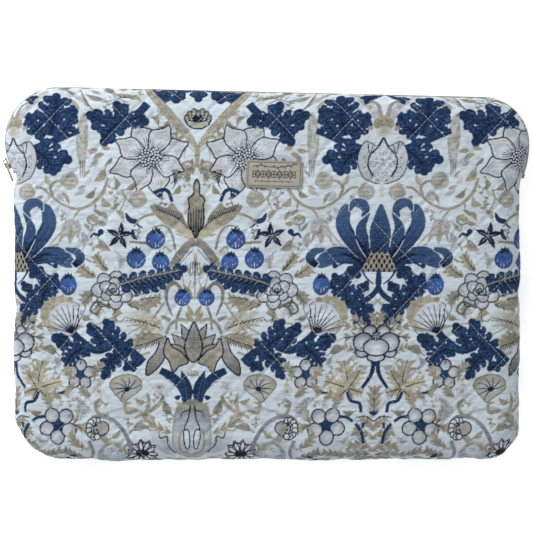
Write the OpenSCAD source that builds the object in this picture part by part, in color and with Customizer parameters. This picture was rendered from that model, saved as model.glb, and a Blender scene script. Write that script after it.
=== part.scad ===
// Padded, quilted laptop sleeve with a coil zip round three sides.
// It lies flat on its back: +X to the right, +Y towards the zipped top edge, +Z up out of the front panel.
// The origin is on the resting face, under the middle of the sleeve. Millimetres.

/* [Sleeve] */
// Overall width across the zipped shoulders
sleeve_w = 363; // [352:1:380]
// Overall height, bottom edge to the top edge at the left shoulder
sleeve_h = 258; // [250:1:270]
// Overall thickness, loosely packed
sleeve_t = 28; // [24:0.5:34]
// How much narrower each side is below the zip
seam_step = 6.8; // [4:0.1:9]
// How far the top edge drops from left to right
shoulder_drop = 7; // [0:0.5:9]
// Radius of the left shoulder, at the zip teeth
shoulder_r_left = 38; // [36:0.5:42]
// Radius of the right shoulder, at the zip teeth
shoulder_r_right = 32.4; // [28:0.1:36]
// Radius of the bottom left corner
corner_r_left = 36; // [26:1:40]
// Radius of the bottom right corner
corner_r_right = 28; // [24:1:40]
// Width of the rolled edge, from the rim to the flat of the panel
edge_roll = 18; // [14:0.5:22]

/* [Layers] */
// Thickness of the printed cotton cover
cover_t = 0.8; // [0.6:0.1:1.2]
// Thickness of the wadding
padding_t = 4; // [3:0.5:5]
// Thickness of the lining
lining_t = 0.5; // [0.3:0.1:0.8]
// Thickness of the binding tape that covers the raw edges
binding_t = 0.7; // [0.5:0.1:1]

/* [Opening] */
// Height of the fold line of the front flap above the bottom edge
fold_y = 182; // [176:1:186]
// Gap between flap and fixed front at the fold
fold_gap = 0.3; // [0.3:0.1:0.6]
// Half height of the zipped side wall between the two panel rims
wall_half = 6.5; // [6:0.1:7.5]

/* [Zip] */
// How far the teeth stand proud of the cover
coil_out = 1.0; // [0.8:0.1:1.4]
// How far the teeth reach inwards
coil_in = 0.9; // [0.8:0.1:1.1]
// Height of one row of teeth
coil_h = 1.9; // [1.6:0.1:2.1]
// Half of the slot between the two rows, where the slider's web runs
coil_gap = 0.6; // [0.5:0.05:0.7]
// Thickness of the zip tape
tape_t = 0.6; // [0.4:0.1:0.8]
// Angle at which the slider is parked on the left shoulder
slider_angle = 202.5; // [200:0.5:204]

/* [Slider] */
// Length of the slider
slider_l = 9; // [8:0.5:10]
// Width of the slider
slider_w = 7.2; // [6.6:0.1:8]
// Thickness of each slider plate
plate_t = 0.8; // [0.7:0.1:1]
// Diameter of the pin of the pull
pin_d = 0.9; // [0.8:0.1:1]
// Length of the pull below its pin
pull_l = 13; // [11:0.5:16]

/* [Label] */
// Width of the label
label_w = 38.6; // [30:0.2:44]
// Height of the label
label_h = 18.8; // [15:0.2:20]
// Thickness of the label
label_t = 1.2; // [0.8:0.1:1.6]
// Tilt of the label
label_tilt = -1.5; // [-2:0.5:2]

/* [Quilting] */
// Width of one quilted diamond
diamond_w = 52.1; // [46:0.1:60]
// Height of one quilted diamond
diamond_h = 55.2; // [48:0.1:64]
// Width of the quilting thread
thread_w = 0.5; // [0.4:0.1:0.8]

/* [Hidden] */

mid = sleeve_t / 2;
hw = sleeve_w / 2;                 // half width at the zip teeth
sw = hw - seam_step;               // half width at the sewn seam
y0 = -sleeve_h / 2;                // bottom edge
fy = y0 + fold_y;                  // fold line
STEPS = 4;                         // rings in the rolled edge
T = [0, cover_t, cover_t + padding_t, cover_t + padding_t + lining_t];

// Left shoulder arc: the slider's path.
slx = -hw + shoulder_r_left;
sly = y0 + sleeve_h - shoulder_r_left;
// Right shoulder arc.
srx = hw - shoulder_r_right;
sry = y0 + sleeve_h - shoulder_drop - shoulder_r_right;
arc_end = 216;                     // the left arc ends here, below the parked slider
top_a = 90 - atan2(shoulder_drop, sleeve_w - 72);

function lerp(a, b, t) = a + (b - a) * t;
function ease(t) = let (c = min(1, max(0, t))) c * c * (3 - 2 * c);
function arc(cx, cy, r, a0, a1, n) = [for (k = [0:n]) let (a = lerp(a0, a1, k / n)) [cx + r * cos(a), cy + r * sin(a)]];
function bez(p, n, k0, k1) = [for (k = [k0:k1]) let (t = k / n, u = 1 - t)
    u * u * u * p[0] + 3 * u * u * t * p[1] + 3 * u * t * t * p[2] + t * t * t * p[3]];

// Outline at the teeth, counter-clockwise. The upper run goes from the right end
// of the fold round the zip to the left end; the lower run goes on round the bottom.
left_end = [slx + shoulder_r_left * cos(arc_end), sly + shoulder_r_left * sin(arc_end)];
left_dir = [-sin(arc_end), cos(arc_end)];
upper = concat(
    bez([[sw, fy], [sw, fy + 12], [hw, fy + 18], [hw, sry]], 8, 0, 7),
    arc(srx, sry, shoulder_r_right, 0, top_a, 9),
    arc(slx, sly, shoulder_r_left, top_a, arc_end, 18),
    bez([left_end, left_end + 4 * left_dir, [-sw, fy + 8], [-sw, fy]], 4, 1, 4));
lower = concat(
    [[-sw, fy]],
    arc(-sw + corner_r_left, y0 + corner_r_left, corner_r_left, 180, 270, 8),
    arc(sw - corner_r_right, y0 + corner_r_right, corner_r_right, 270, 360, 8),
    [[sw, fy]]);
NU = len(upper);
NL = len(lower);

function unit(v) = v / norm(v);
function inward(a, b) = let (t = unit(b - a)) [-t[1], t[0]];
// How far the zip has parted the two rims: 0 at the seam, 1 along the zip.
function open_at(y) = ease((y - fy - 2) / 14);

// Stations: [point, inward normal, opening]
up_st = [for (i = [0:NU - 1])
    i == 0 ? [upper[0], [-1, 0], 0] :
    i == NU - 1 ? [upper[i], [1, 0], 0] :
    [upper[i], inward(upper[i - 1], upper[i + 1]), open_at(upper[i][1])]];
lo_st = [for (i = [0:NL - 1])
    i == 0 ? [lower[0], [1, 0], 0] :
    i == NL - 1 ? [lower[i], [-1, 0], 0] :
    [lower[i], inward(lower[i - 1], lower[i + 1]), 0]];
all_st = concat(up_st, [for (i = [1:NL - 2]) lo_st[i]]);
// The front halves end half a gap away from the fold.
function shifted(st, dy) = [for (i = [0:len(st) - 1])
    (i == 0 || i == len(st) - 1) ? [st[i][0] + [0, dy], st[i][1], st[i][2]] : st[i]];
flap_st = shifted(up_st, fold_gap / 2);
fixed_st = shifted(lo_st, -fold_gap / 2);

// Rim heights of the back panel, the fixed front and the flap.
function rim_back(s) = mid - wall_half * s[2];
function rim_fixed(s) = mid;
function rim_flap(s) = mid + 0.3 + (wall_half - 0.3) * s[2];

// A point d inside the cover's edge at station s.
function at(s, d, z) = let (p = s[0] + s[1] * (coil_out * s[2] + d)) [p[0], p[1], z];

// Point j of the rolled edge, on the surface t deep. side: 0 back, 1 fixed front, 2 flap
function roll(s, t, j, side) =
    let (a = 90 * j / STEPS,
         rim = side == 0 ? rim_back(s) : side == 1 ? rim_fixed(s) : rim_flap(s),
         face = side == 0 ? t : sleeve_t - t)
    at(s, edge_roll - (edge_roll - t) * cos(a), rim + (face - rim) * sin(a));

function flip(fs, yes) = yes ? [for (f = fs) [for (k = [len(f) - 1:-1:0]) f[k]]] : fs;

// The cut end of a layer: a band up one rolled edge, across the flat and down the other.
function cut_faces(n, J, b) = let (e = (n - 1) * J) concat(
    [for (j = [0:STEPS - 1]) [b + j, b + j + 1, j + 1]],
    [for (j = [0:STEPS - 1]) [b + j, j + 1, j]],
    [for (j = [0:STEPS - 1]) [b + e + j + 1, b + e + j, e + j]],
    [for (j = [0:STEPS - 1]) [b + e + j + 1, e + j, e + j + 1]],
    [[b + STEPS, b + e + STEPS, e + STEPS], [b + STEPS, e + STEPS, STEPS]]);

// One layer of a panel, between the depths ta and tb.
module layer(st, ta, tb, side) {
    n = len(st);
    J = STEPS + 1;
    closed = side == 0;
    m = closed ? n : n - 1;
    pts = concat(
        [for (s = st) for (j = [0:STEPS]) roll(s, ta, j, side)],
        [for (s = st) for (j = [0:STEPS]) roll(s, tb, j, side)]);
    b = n * J;
    faces = concat(
        [for (i = [0:m - 1]) for (j = [0:STEPS - 1]) let (k = (i + 1) % n)
            [i * J + j, i * J + j + 1, k * J + j + 1]],
        [for (i = [0:m - 1]) for (j = [0:STEPS - 1]) let (k = (i + 1) % n)
            [i * J + j, k * J + j + 1, k * J + j]],
        [for (i = [0:m - 1]) for (j = [0:STEPS - 1]) let (k = (i + 1) % n)
            [b + i * J + j, b + k * J + j + 1, b + i * J + j + 1]],
        [for (i = [0:m - 1]) for (j = [0:STEPS - 1]) let (k = (i + 1) % n)
            [b + i * J + j, b + k * J + j, b + k * J + j + 1]],
        [for (i = [0:m - 1]) let (k = (i + 1) % n) [i * J, k * J, b + k * J]],
        [for (i = [0:m - 1]) let (k = (i + 1) % n) [i * J, b + k * J, b + i * J]],
        [[for (i = [n - 1:-1:0]) i * J + STEPS]],
        [[for (i = [0:n - 1]) b + i * J + STEPS]],
        closed ? [] : cut_faces(n, J, b));
    polyhedron(points = pts, faces = flip(faces, closed), convexity = 6);
}

// A strip of constant section along some stations. sec(s) lists the section's
// points, clockwise when looking along the run.
module strip(sections) {
    n = len(sections);
    q = len(sections[0]);
    pts = [for (s = sections) for (p = s) p];
    faces = concat(
        [for (i = [0:n - 2]) for (k = [0:q - 1]) let (l = (k + 1) % q)
            [i * q + k, i * q + l, (i + 1) * q + l]],
        [for (i = [0:n - 2]) for (k = [0:q - 1]) let (l = (k + 1) % q)
            [i * q + k, (i + 1) * q + l, (i + 1) * q + k]],
        [[for (k = [q - 1:-1:0]) k]],
        [[for (k = [0:q - 1]) (n - 1) * q + k]]);
    polyhedron(points = pts, faces = faces, convexity = 6);
}

// Stations that carry the tapes, and the shorter run that carries the teeth.
tape_st = [for (s = up_st) if (s[2] > 0.25) s];
function chain_ok(s) = s[0][0] > 0 ? s[0][1] > fy + 13 :
    s[0][0] > slx || atan2(s[0][1] - sly, s[0][0] - slx) > 0 || s[0][1] > sly + shoulder_r_left * sin(211);
chain_st = [for (s = up_st) if (chain_ok(s) && s[2] > 0.5) s];

function band(s, d0, d1, z0, z1) = [at(s, d0, z0), at(s, d0, z1), at(s, d1, z1), at(s, d1, z0)];
// One row of teeth, as the rounded bead that the loops of the coil fill.
function bead(s, za, zb) = let (c = coil_h * 0.28, i = coil_in, o = -coil_out)
    [at(s, o, za + c), at(s, o, zb - c), at(s, o + c, zb), at(s, i - c, zb),
     at(s, i, zb - c), at(s, i, za + c), at(s, i - c, za), at(s, o + c, za)];

cb = mid - coil_gap - coil_h;      // foot of the back teeth
cf = mid + coil_gap + coil_h;      // foot of the front teeth

module back_cover() { color([0.73, 0.78, 0.80]) layer(all_st, T[0], T[1], 0); }
module back_padding() { color([0.93, 0.93, 0.91]) layer(all_st, T[1], T[2], 0); }
module back_lining() { color([0.24, 0.27, 0.34]) layer(all_st, T[2], T[3], 0); }
module front_cover_lower() { color([0.73, 0.78, 0.80]) layer(fixed_st, T[0], T[1], 1); }
module front_padding_lower() { color([0.93, 0.93, 0.91]) layer(fixed_st, T[1], T[2], 1); }
module front_lining_lower() { color([0.24, 0.27, 0.34]) layer(fixed_st, T[2], T[3], 1); }
module front_cover_upper() { color([0.66, 0.73, 0.79]) layer(flap_st, T[0], T[1], 2); }
module front_padding_upper() { color([0.93, 0.93, 0.91]) layer(flap_st, T[1], T[2], 2); }
module front_lining_upper() { color([0.24, 0.27, 0.34]) layer(flap_st, T[2], T[3], 2); }

// Binding over the seam, inside, against the lining of both panels.
module seam_binding() {
    color([0.20, 0.22, 0.28])
        strip([for (s = fixed_st) [
            roll(s, T[3], 1, 0), roll(s, T[3], 0, 0), roll(s, T[3], 1, 1),
            roll(s, T[3] + binding_t, 1, 1), roll(s, T[3] + binding_t, 0, 0), roll(s, T[3] + binding_t, 1, 0)]]);
}
// Bindings over the raw edges of wadding and lining along the zip.
module zip_binding_back() {
    color([0.20, 0.22, 0.28])
        strip([for (s = tape_st) band(s, 0.95, T[3], rim_back(s), rim_back(s) + binding_t)]);
}
module zip_binding_front() {
    color([0.20, 0.22, 0.28])
        strip([for (s = tape_st) band(s, 0.95, T[3], rim_flap(s) - binding_t, rim_flap(s))]);
}
module zip_tape_back() {
    color([0.74, 0.71, 0.62])
        strip([for (s = tape_st) band(s, 0.2, 0.2 + tape_t, rim_back(s), max(cb, rim_back(s) + 0.3))]);
}
module zip_tape_front() {
    color([0.74, 0.71, 0.62])
        strip([for (s = chain_st) band(s, 0.2, 0.2 + tape_t, cf, rim_flap(s))]);
}
module zip_coil_back() {
    color([0.80, 0.77, 0.68]) strip([for (s = chain_st) bead(s, cb, cb + coil_h)]);
}
module zip_coil_front() {
    color([0.80, 0.77, 0.68]) strip([for (s = chain_st) bead(s, cf - coil_h, cf)]);
}

// Turns its children to face outwards at the first station of the chain.
module at_chain_start(dy) {
    s = chain_st[0];
    a = atan2(-s[1][1], -s[1][0]);
    translate([s[0][0], s[0][1], 0]) rotate([0, 0, a]) translate([0, dy, 0]) children();
}
// The bottom stop, in line with the closed teeth at the right-hand end.
module zip_bottom_stop() {
    color([0.78, 0.73, 0.60]) at_chain_start(-2) translate([-2.2, -1.6, cb + 0.1])
        cube([2.6, 3.2, cf - cb - 0.4]);
}
// Top stops, one at the left end of each row of teeth.
module top_stop(z0) {
    color([0.78, 0.73, 0.60]) translate([slx, sly, z0]) rotate([0, 0, 213.8])
        translate([shoulder_r_left - coil_out - 1.1, -0.9, 0]) cube([2.4, 2.2, coil_h - 0.1]);
}
module zip_top_stop_back() { top_stop(cb + 0.1); }
module zip_top_stop_front() { top_stop(cf - coil_h); }

// Quilting threads: straight lines both ways over the flat of the front panel.
module lines(ya, yb) {
    h = 0.25;
    ang = atan2(diamond_h, diamond_w);
    intersection() {
        union() for (k = [-7:7]) for (s = [-1, 1])
            translate([6.6 + k * diamond_w, y0 + 124.9, sleeve_t]) rotate([0, 0, s * ang])
                translate([-320, -thread_w / 2, 0]) cube([640, thread_w, h]);
        translate([0, 0, sleeve_t - 1]) linear_extrude(3) intersection() {
            polygon([for (s = all_st) let (p = at(s, edge_roll + 1, 0)) [p[0], p[1]]]);
            translate([-300, ya]) square([600, yb - ya]);
        }
    }
}
module quilting_thread_lower() { color([0.86, 0.86, 0.83]) lines(y0, fy - 0.5); }
module quilting_thread_upper() {
    color([0.86, 0.86, 0.83]) difference() {
        lines(fy + 0.5, -y0);
        on_label() translate([-label_w / 2 - 0.5, -label_h / 2 - 0.5, -1]) cube([label_w + 1, label_h + 1, 5]);
    }
}

// The label sits on the flap, just above the fold.
module on_label() { translate([4.9, y0 + 197, sleeve_t]) rotate([0, 0, label_tilt]) children(); }
module label() {
    r = 0.7;
    color([0.66, 0.62, 0.54]) on_label() linear_extrude(label_t) union() {
        translate([-label_w / 2 + r, -label_h / 2]) square([label_w - 2 * r, label_h]);
        translate([-label_w / 2, -label_h / 2 + r]) square([label_w, label_h - 2 * r]);
        for (x = [-1, 1]) for (y = [-1, 1])
            translate([x * (label_w / 2 - r), y * (label_h / 2 - r)]) circle(r, $fn = 32);
    }
}
// Stitches round the label, in pairs of holes a stitch apart.
module label_stitches() {
    nx = 17; ny = 8; inset = 1.3;
    lx = label_w - 2 * inset; ly = label_h - 2 * inset;
    color([0.36, 0.33, 0.28]) on_label() {
        for (i = [0:nx - 1]) for (s = [-1, 1])
            translate([-lx / 2 + (i + 0.5) * lx / nx - 0.7, s * ly / 2 - 0.2, label_t]) cube([1.4, 0.4, 0.2]);
        for (i = [0:ny - 1]) for (s = [-1, 1])
            translate([s * lx / 2 - 0.2, -ly / 2 + (i + 0.5) * ly / ny - 0.7, label_t]) cube([0.4, 1.4, 0.2]);
    }
}

// Slider frame: X outwards from the centre of the left shoulder arc, Y along
// the teeth towards the parked end, Z across the sleeve.
module on_slider() { translate([slx, sly, mid]) rotate([0, 0, slider_angle]) children(); }
rc = shoulder_r_left;              // the teeth's outer face
plate_x = rc + 0.35;               // underside of the outer plate
inner_x = (rc - coil_out - coil_in) * cos(6.8) - 1.3 - plate_t;
pin_x = plate_x + plate_t + 0.3 + pin_d * 0.85;
crown_top = pin_x + pin_d / 2 + 0.25 + 0.6;
module plate(x, w, l) {
    translate([x, 0, 0]) rotate([90, 0, 90]) linear_extrude(plate_t) intersection() {
        square([l, w], center = true);
        circle(d = l * 1.12, $fn = 96);
    }
}
module slider_body() {
    color([0.80, 0.75, 0.62]) on_slider() union() {
        plate(plate_x, slider_w, slider_l);
        plate(inner_x, slider_w, slider_l);
        translate([inner_x + plate_t / 2, 1.2, -0.3]) cube([plate_x - inner_x, 2.8, 0.6]);
    }
}
// The crown arches over the pin of the pull.
module slider_crown() {
    foot = plate_x + plate_t;
    color([0.80, 0.75, 0.62]) on_slider() translate([0, 0, -1.1]) linear_extrude(2.2) difference() {
        union() {
            translate([foot, -3]) square([crown_top - foot - 0.8, 6]);
            translate([foot, -2.2]) square([crown_top - foot, 4.4]);
            for (s = [-1, 1]) translate([crown_top - 0.8, s * 2.2]) circle(0.8, $fn = 48);
        }
        translate([foot - 1, -2.2]) square([pin_x + pin_d / 2 + 0.25 - foot + 1, 4.4]);
    }
}
// The pull: two ears on a pin, and a slotted tab.
module pull_tab() {
    ear_r = pin_d * 0.85;
    neck = 3.8;
    th = 2 * ear_r * 0.85;
    color([0.82, 0.77, 0.63]) on_slider() translate([pin_x, 0, 0]) union() {
        translate([0, 0, -2.2]) cylinder(d = pin_d, h = 4.4, $fn = 48);
        for (s = [-1, 1]) translate([0, 0, s > 0 ? 1.4 : -2.4]) {
            cylinder(r = ear_r, h = 1, $fn = 48);
            translate([-th / 2, 0, 0]) cube([th, neck + 0.5, 1]);
        }
        translate([-th / 2, 0, 0]) rotate([90, 0, 90]) linear_extrude(th) difference() {
            union() {
                polygon([[neck, -2.4], [neck, 2.4], [pull_l - 2.6, 2.6], [pull_l - 2.6, -2.6]]);
                translate([pull_l - 2.6, 0]) circle(2.6, $fn = 64);
            }
            translate([neck + 1.2, -1.1]) square([3.2, 2.2]);
            translate([pull_l - 3, 0]) circle(1.3, $fn = 48);
        }
    }
}

back_cover();
back_padding();
back_lining();
front_cover_lower();
front_padding_lower();
front_lining_lower();
front_cover_upper();
front_padding_upper();
front_lining_upper();
seam_binding();
zip_binding_back();
zip_binding_front();
zip_tape_back();
zip_tape_front();
zip_coil_back();
zip_coil_front();
zip_bottom_stop();
zip_top_stop_back();
zip_top_stop_front();
quilting_thread_lower();
quilting_thread_upper();
label();
label_stitches();
slider_body();
slider_crown();
pull_tab();
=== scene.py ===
"""Looks of the quilted laptop sleeve: printed cotton over wadding, a coil zip round three sides and a small leather label.
Lengths below are in millimetres unless a name says otherwise; meshes are written in metres."""
import math

import bmesh
import bpy
import numpy as np
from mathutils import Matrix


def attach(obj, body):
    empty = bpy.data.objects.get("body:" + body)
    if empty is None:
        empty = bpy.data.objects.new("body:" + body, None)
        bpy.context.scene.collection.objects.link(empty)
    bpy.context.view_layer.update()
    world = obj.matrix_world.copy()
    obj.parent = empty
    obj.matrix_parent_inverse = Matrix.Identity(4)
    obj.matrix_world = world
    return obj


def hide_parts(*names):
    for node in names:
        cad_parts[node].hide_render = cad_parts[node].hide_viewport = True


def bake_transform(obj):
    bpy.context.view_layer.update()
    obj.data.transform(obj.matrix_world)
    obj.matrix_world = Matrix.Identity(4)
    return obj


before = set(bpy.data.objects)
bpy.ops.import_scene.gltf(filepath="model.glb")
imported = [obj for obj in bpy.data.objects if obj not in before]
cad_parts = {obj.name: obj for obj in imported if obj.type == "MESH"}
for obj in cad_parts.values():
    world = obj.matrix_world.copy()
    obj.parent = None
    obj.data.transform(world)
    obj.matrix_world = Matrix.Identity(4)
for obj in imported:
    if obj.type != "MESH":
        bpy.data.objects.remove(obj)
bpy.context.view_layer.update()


# ---------------------------------------------------------------- the print
# One half repeat of a mirrored botanical print, drawn in its own units (1 unit = 0.69 mm).
# u runs from mirror line 0 to mirror line 183.5, v runs down the cloth.
HALF = 183.5
PU, PV0, PV1, RES = 40, 52, 496, 4
rngp = np.random.default_rng(11)
W_, H_ = int((HALF + 2 * PU) * RES), int((PV1 - PV0) * RES)


def noise2(h, w, cell, seed):
    r = np.random.default_rng(seed)
    gh, gw = int(h / cell) + 3, int(w / cell) + 3
    g = r.random((gh, gw)) * 2 - 1
    y, x = np.arange(h) / cell, np.arange(w) / cell
    iy, ix = y.astype(int), x.astype(int)
    fy, fx = y - iy, x - ix
    fy, fx = fy * fy * (3 - 2 * fy), fx * fx * (3 - 2 * fx)
    a = g[iy][:, ix] * (1 - fx) + g[iy][:, ix + 1] * fx
    b = g[iy + 1][:, ix] * (1 - fx) + g[iy + 1][:, ix + 1] * fx
    return a * (1 - fy)[:, None] + b * fy[:, None]


MOT = 0.5 * noise2(H_, W_, 22, 1) + 0.35 * noise2(H_, W_, 9, 2) + 0.35 * noise2(H_, W_, 3, 3)
SPK = noise2(H_, W_, 2.4, 4)
C = np.zeros((H_, W_, 3), np.float32)


def rgb(*c):
    return np.array(c, np.float32) / 255


GROUND = rgb(203, 214, 222)
NAVY, NAVYD, NAVYL = rgb(24, 49, 84), rgb(9, 20, 44), rgb(58, 88, 128)
BLUE, SEED = rgb(62, 94, 158), rgb(196, 206, 218)
TAN, TAUPE, TAUPED = rgb(155, 151, 134), rgb(135, 133, 124), rgb(100, 97, 90)
PALE, GREY, GREYD = rgb(212, 218, 222), rgb(176, 180, 184), rgb(118, 122, 132)
INK = rgb(17, 22, 44)
C[:] = GROUND


def spline(p, n=10, closed=False):
    p = np.asarray(p, float)
    if len(p) < 3 and not closed:
        t = np.linspace(0, 1, n + 1)[:, None]
        return p[0] * (1 - t) + p[-1] * t
    if closed:
        q = np.vstack([p[-1], p, p[0], p[1]])
    else:
        q = np.vstack([2 * p[0] - p[1], p, 2 * p[-1] - p[-2]])
    out = []
    for i in range(1, len(q) - 2):
        for k in range(n):
            t = k / n
            a, b, c, d = q[i - 1], q[i], q[i + 1], q[i + 2]
            out.append(0.5 * (2 * b + (c - a) * t + (2 * a - 5 * b + 4 * c - d) * t * t + (3 * b - a - 3 * c + d) * t ** 3))
    if not closed:
        out.append(q[-2])
    return np.array(out)


def mask_of(poly):
    """Even-odd fill: (slice, boolean mask) of a closed polygon given in tile units."""
    p = (np.asarray(poly, float) - (-PU, PV0)) * RES
    x0, y0 = np.floor(p.min(0)).astype(int)
    x1, y1 = np.ceil(p.max(0)).astype(int) + 1
    x0, y0, x1, y1 = max(x0, 0), max(y0, 0), min(x1, W_), min(y1, H_)
    if x1 <= x0 or y1 <= y0:
        return None
    t = np.zeros((y1 - y0, x1 - x0 + 1), np.int16)
    q = np.roll(p, -1, 0)
    for (ax, ay), (bx, by) in zip(p, q):
        if ay == by:
            continue
        if ay > by:
            ax, ay, bx, by = bx, by, ax, ay
        r0, r1 = max(int(math.ceil(ay - 0.5)), y0), min(int(math.ceil(by - 0.5)), y1)
        if r1 <= r0:
            continue
        r = np.arange(r0, r1)
        xs = ax + (r + 0.5 - ay) * (bx - ax) / (by - ay)
        c = np.clip(np.ceil(xs - 0.5).astype(int) - x0, 0, x1 - x0)
        np.add.at(t, (r - y0, c), 1)
    m = (np.cumsum(t, 1)[:, :-1] % 2).astype(bool)
    return (slice(y0, y1), slice(x0, x1)), m


def mirrors(poly):
    p = np.asarray(poly, float)
    yield p
    if p[:, 0].min() < PU:
        yield p * (-1, 1)
    if p[:, 0].max() > HALF - PU:
        yield p * (-1, 1) + (2 * HALF, 0)


def put(s, m, col, mot=0.10, a=1.0):
    base = np.asarray(col, np.float32)
    shade = 1 + mot * MOT[s][m]
    C[s][m] = C[s][m] * (1 - a) + (base * shade[:, None]) * a if a < 1 else base * shade[:, None]


def fill(poly, col, mot=0.10, a=1.0, grad=None, hatch=None, speck=None):
    """grad: (centre, radius, colour at the radius). hatch: (angle, spacing, width, colour)."""
    for k, p in enumerate(mirrors(poly)):
        r = mask_of(p)
        if r is None:
            continue
        s, m = r
        put(s, m, col, mot, a)
        yy, xx = np.mgrid[s]
        u, v = xx[m] / RES - PU, yy[m] / RES + PV0
        if k:
            off = 0 if abs(p[:, 0] + np.asarray(poly)[:, 0]).max() < 1e-6 else 2 * HALF
            u = off - u
        if grad is not None:
            (gx, gy), gr, gc = grad
            w = np.clip(np.hypot(u - gx, v - gy) / gr, 0, 1)[:, None] ** 1.4
            C[s][m] = C[s][m] * (1 - w) + gc * w
        if hatch is not None:
            ang, sp, wd, hc = hatch
            d = (u * math.sin(ang) + v * math.cos(ang)) / sp
            on = np.abs(d - np.round(d)) * sp < wd / 2
            c = C[s][m]
            c[on] = hc
            C[s][m] = c
        if speck is not None:
            sc, th = speck
            c = C[s][m]
            c[SPK[s][m] > th] = sc
            C[s][m] = c


def ribbon(pts, w0, w1=None, wm=None, n=10):
    c = spline(pts, n)
    w1 = w0 if w1 is None else w1
    t = np.linspace(0, 1, len(c))
    w = w0 + (w1 - w0) * t
    if wm is not None:
        w = w + (wm - (w0 + w1) / 2) * np.sin(math.pi * t)
    d = np.gradient(c, axis=0)
    d /= np.maximum(np.linalg.norm(d, axis=1), 1e-9)[:, None]
    nrm = np.stack([-d[:, 1], d[:, 0]], 1) * (w / 2)[:, None]
    return np.vstack([c + nrm, (c - nrm)[::-1]])


def stroke(pts, w0, w1=None, col=INK, wm=None, mot=0.05, **k):
    fill(ribbon(pts, w0, w1, wm), col, mot, **k)


def edge(poly, w=0.9, col=INK):
    w = w * 1.35 if col is INK else w
    p = np.vstack([poly, poly[:1]])
    for q in (p,):
        d = np.gradient(q, axis=0)
        d[0] = d[-1] = q[1] - q[-2]
        d /= np.maximum(np.linalg.norm(d, axis=1), 1e-9)[:, None]
        nrm = np.stack([-d[:, 1], d[:, 0]], 1) * w / 2
        fill(np.vstack([q + nrm, (q - nrm)[::-1]]), col, 0.05)


def disc(c, r, ry=None, rot=0, n=26):
    t = np.linspace(0, 2 * math.pi, n, endpoint=False)
    x, y = r * np.cos(t), (r if ry is None else ry) * np.sin(t)
    return np.stack([c[0] + x * math.cos(rot) - y * math.sin(rot), c[1] + x * math.sin(rot) + y * math.cos(rot)], 1)


def blade(a, b, w, bend=0.0, sharp=0.8, n=14):
    """An almond leaf from a to b, w wide, bowed sideways by bend."""
    a, b = np.asarray(a, float), np.asarray(b, float)
    d = b - a
    nrm = np.array([-d[1], d[0]]) / max(np.hypot(*d), 1e-9)
    t = np.linspace(0, 1, n)
    c = a + d * t[:, None] + nrm * (bend * np.sin(math.pi * t))[:, None]
    h = w / 2 * np.sin(math.pi * t ** sharp)
    return np.vstack([c + nrm * h[:, None], (c - nrm * h[:, None])[::-1]])


def leaf(a, b, w, bend=0, col=TAN, vein=None, **k):
    fill(blade(a, b, w, bend), col, 0.14, **k)
    if vein is not None:
        c = blade(a, b, 0.01, bend)[:14]
        stroke(c[1:12:2], 0.9, 0.3, vein)


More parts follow.
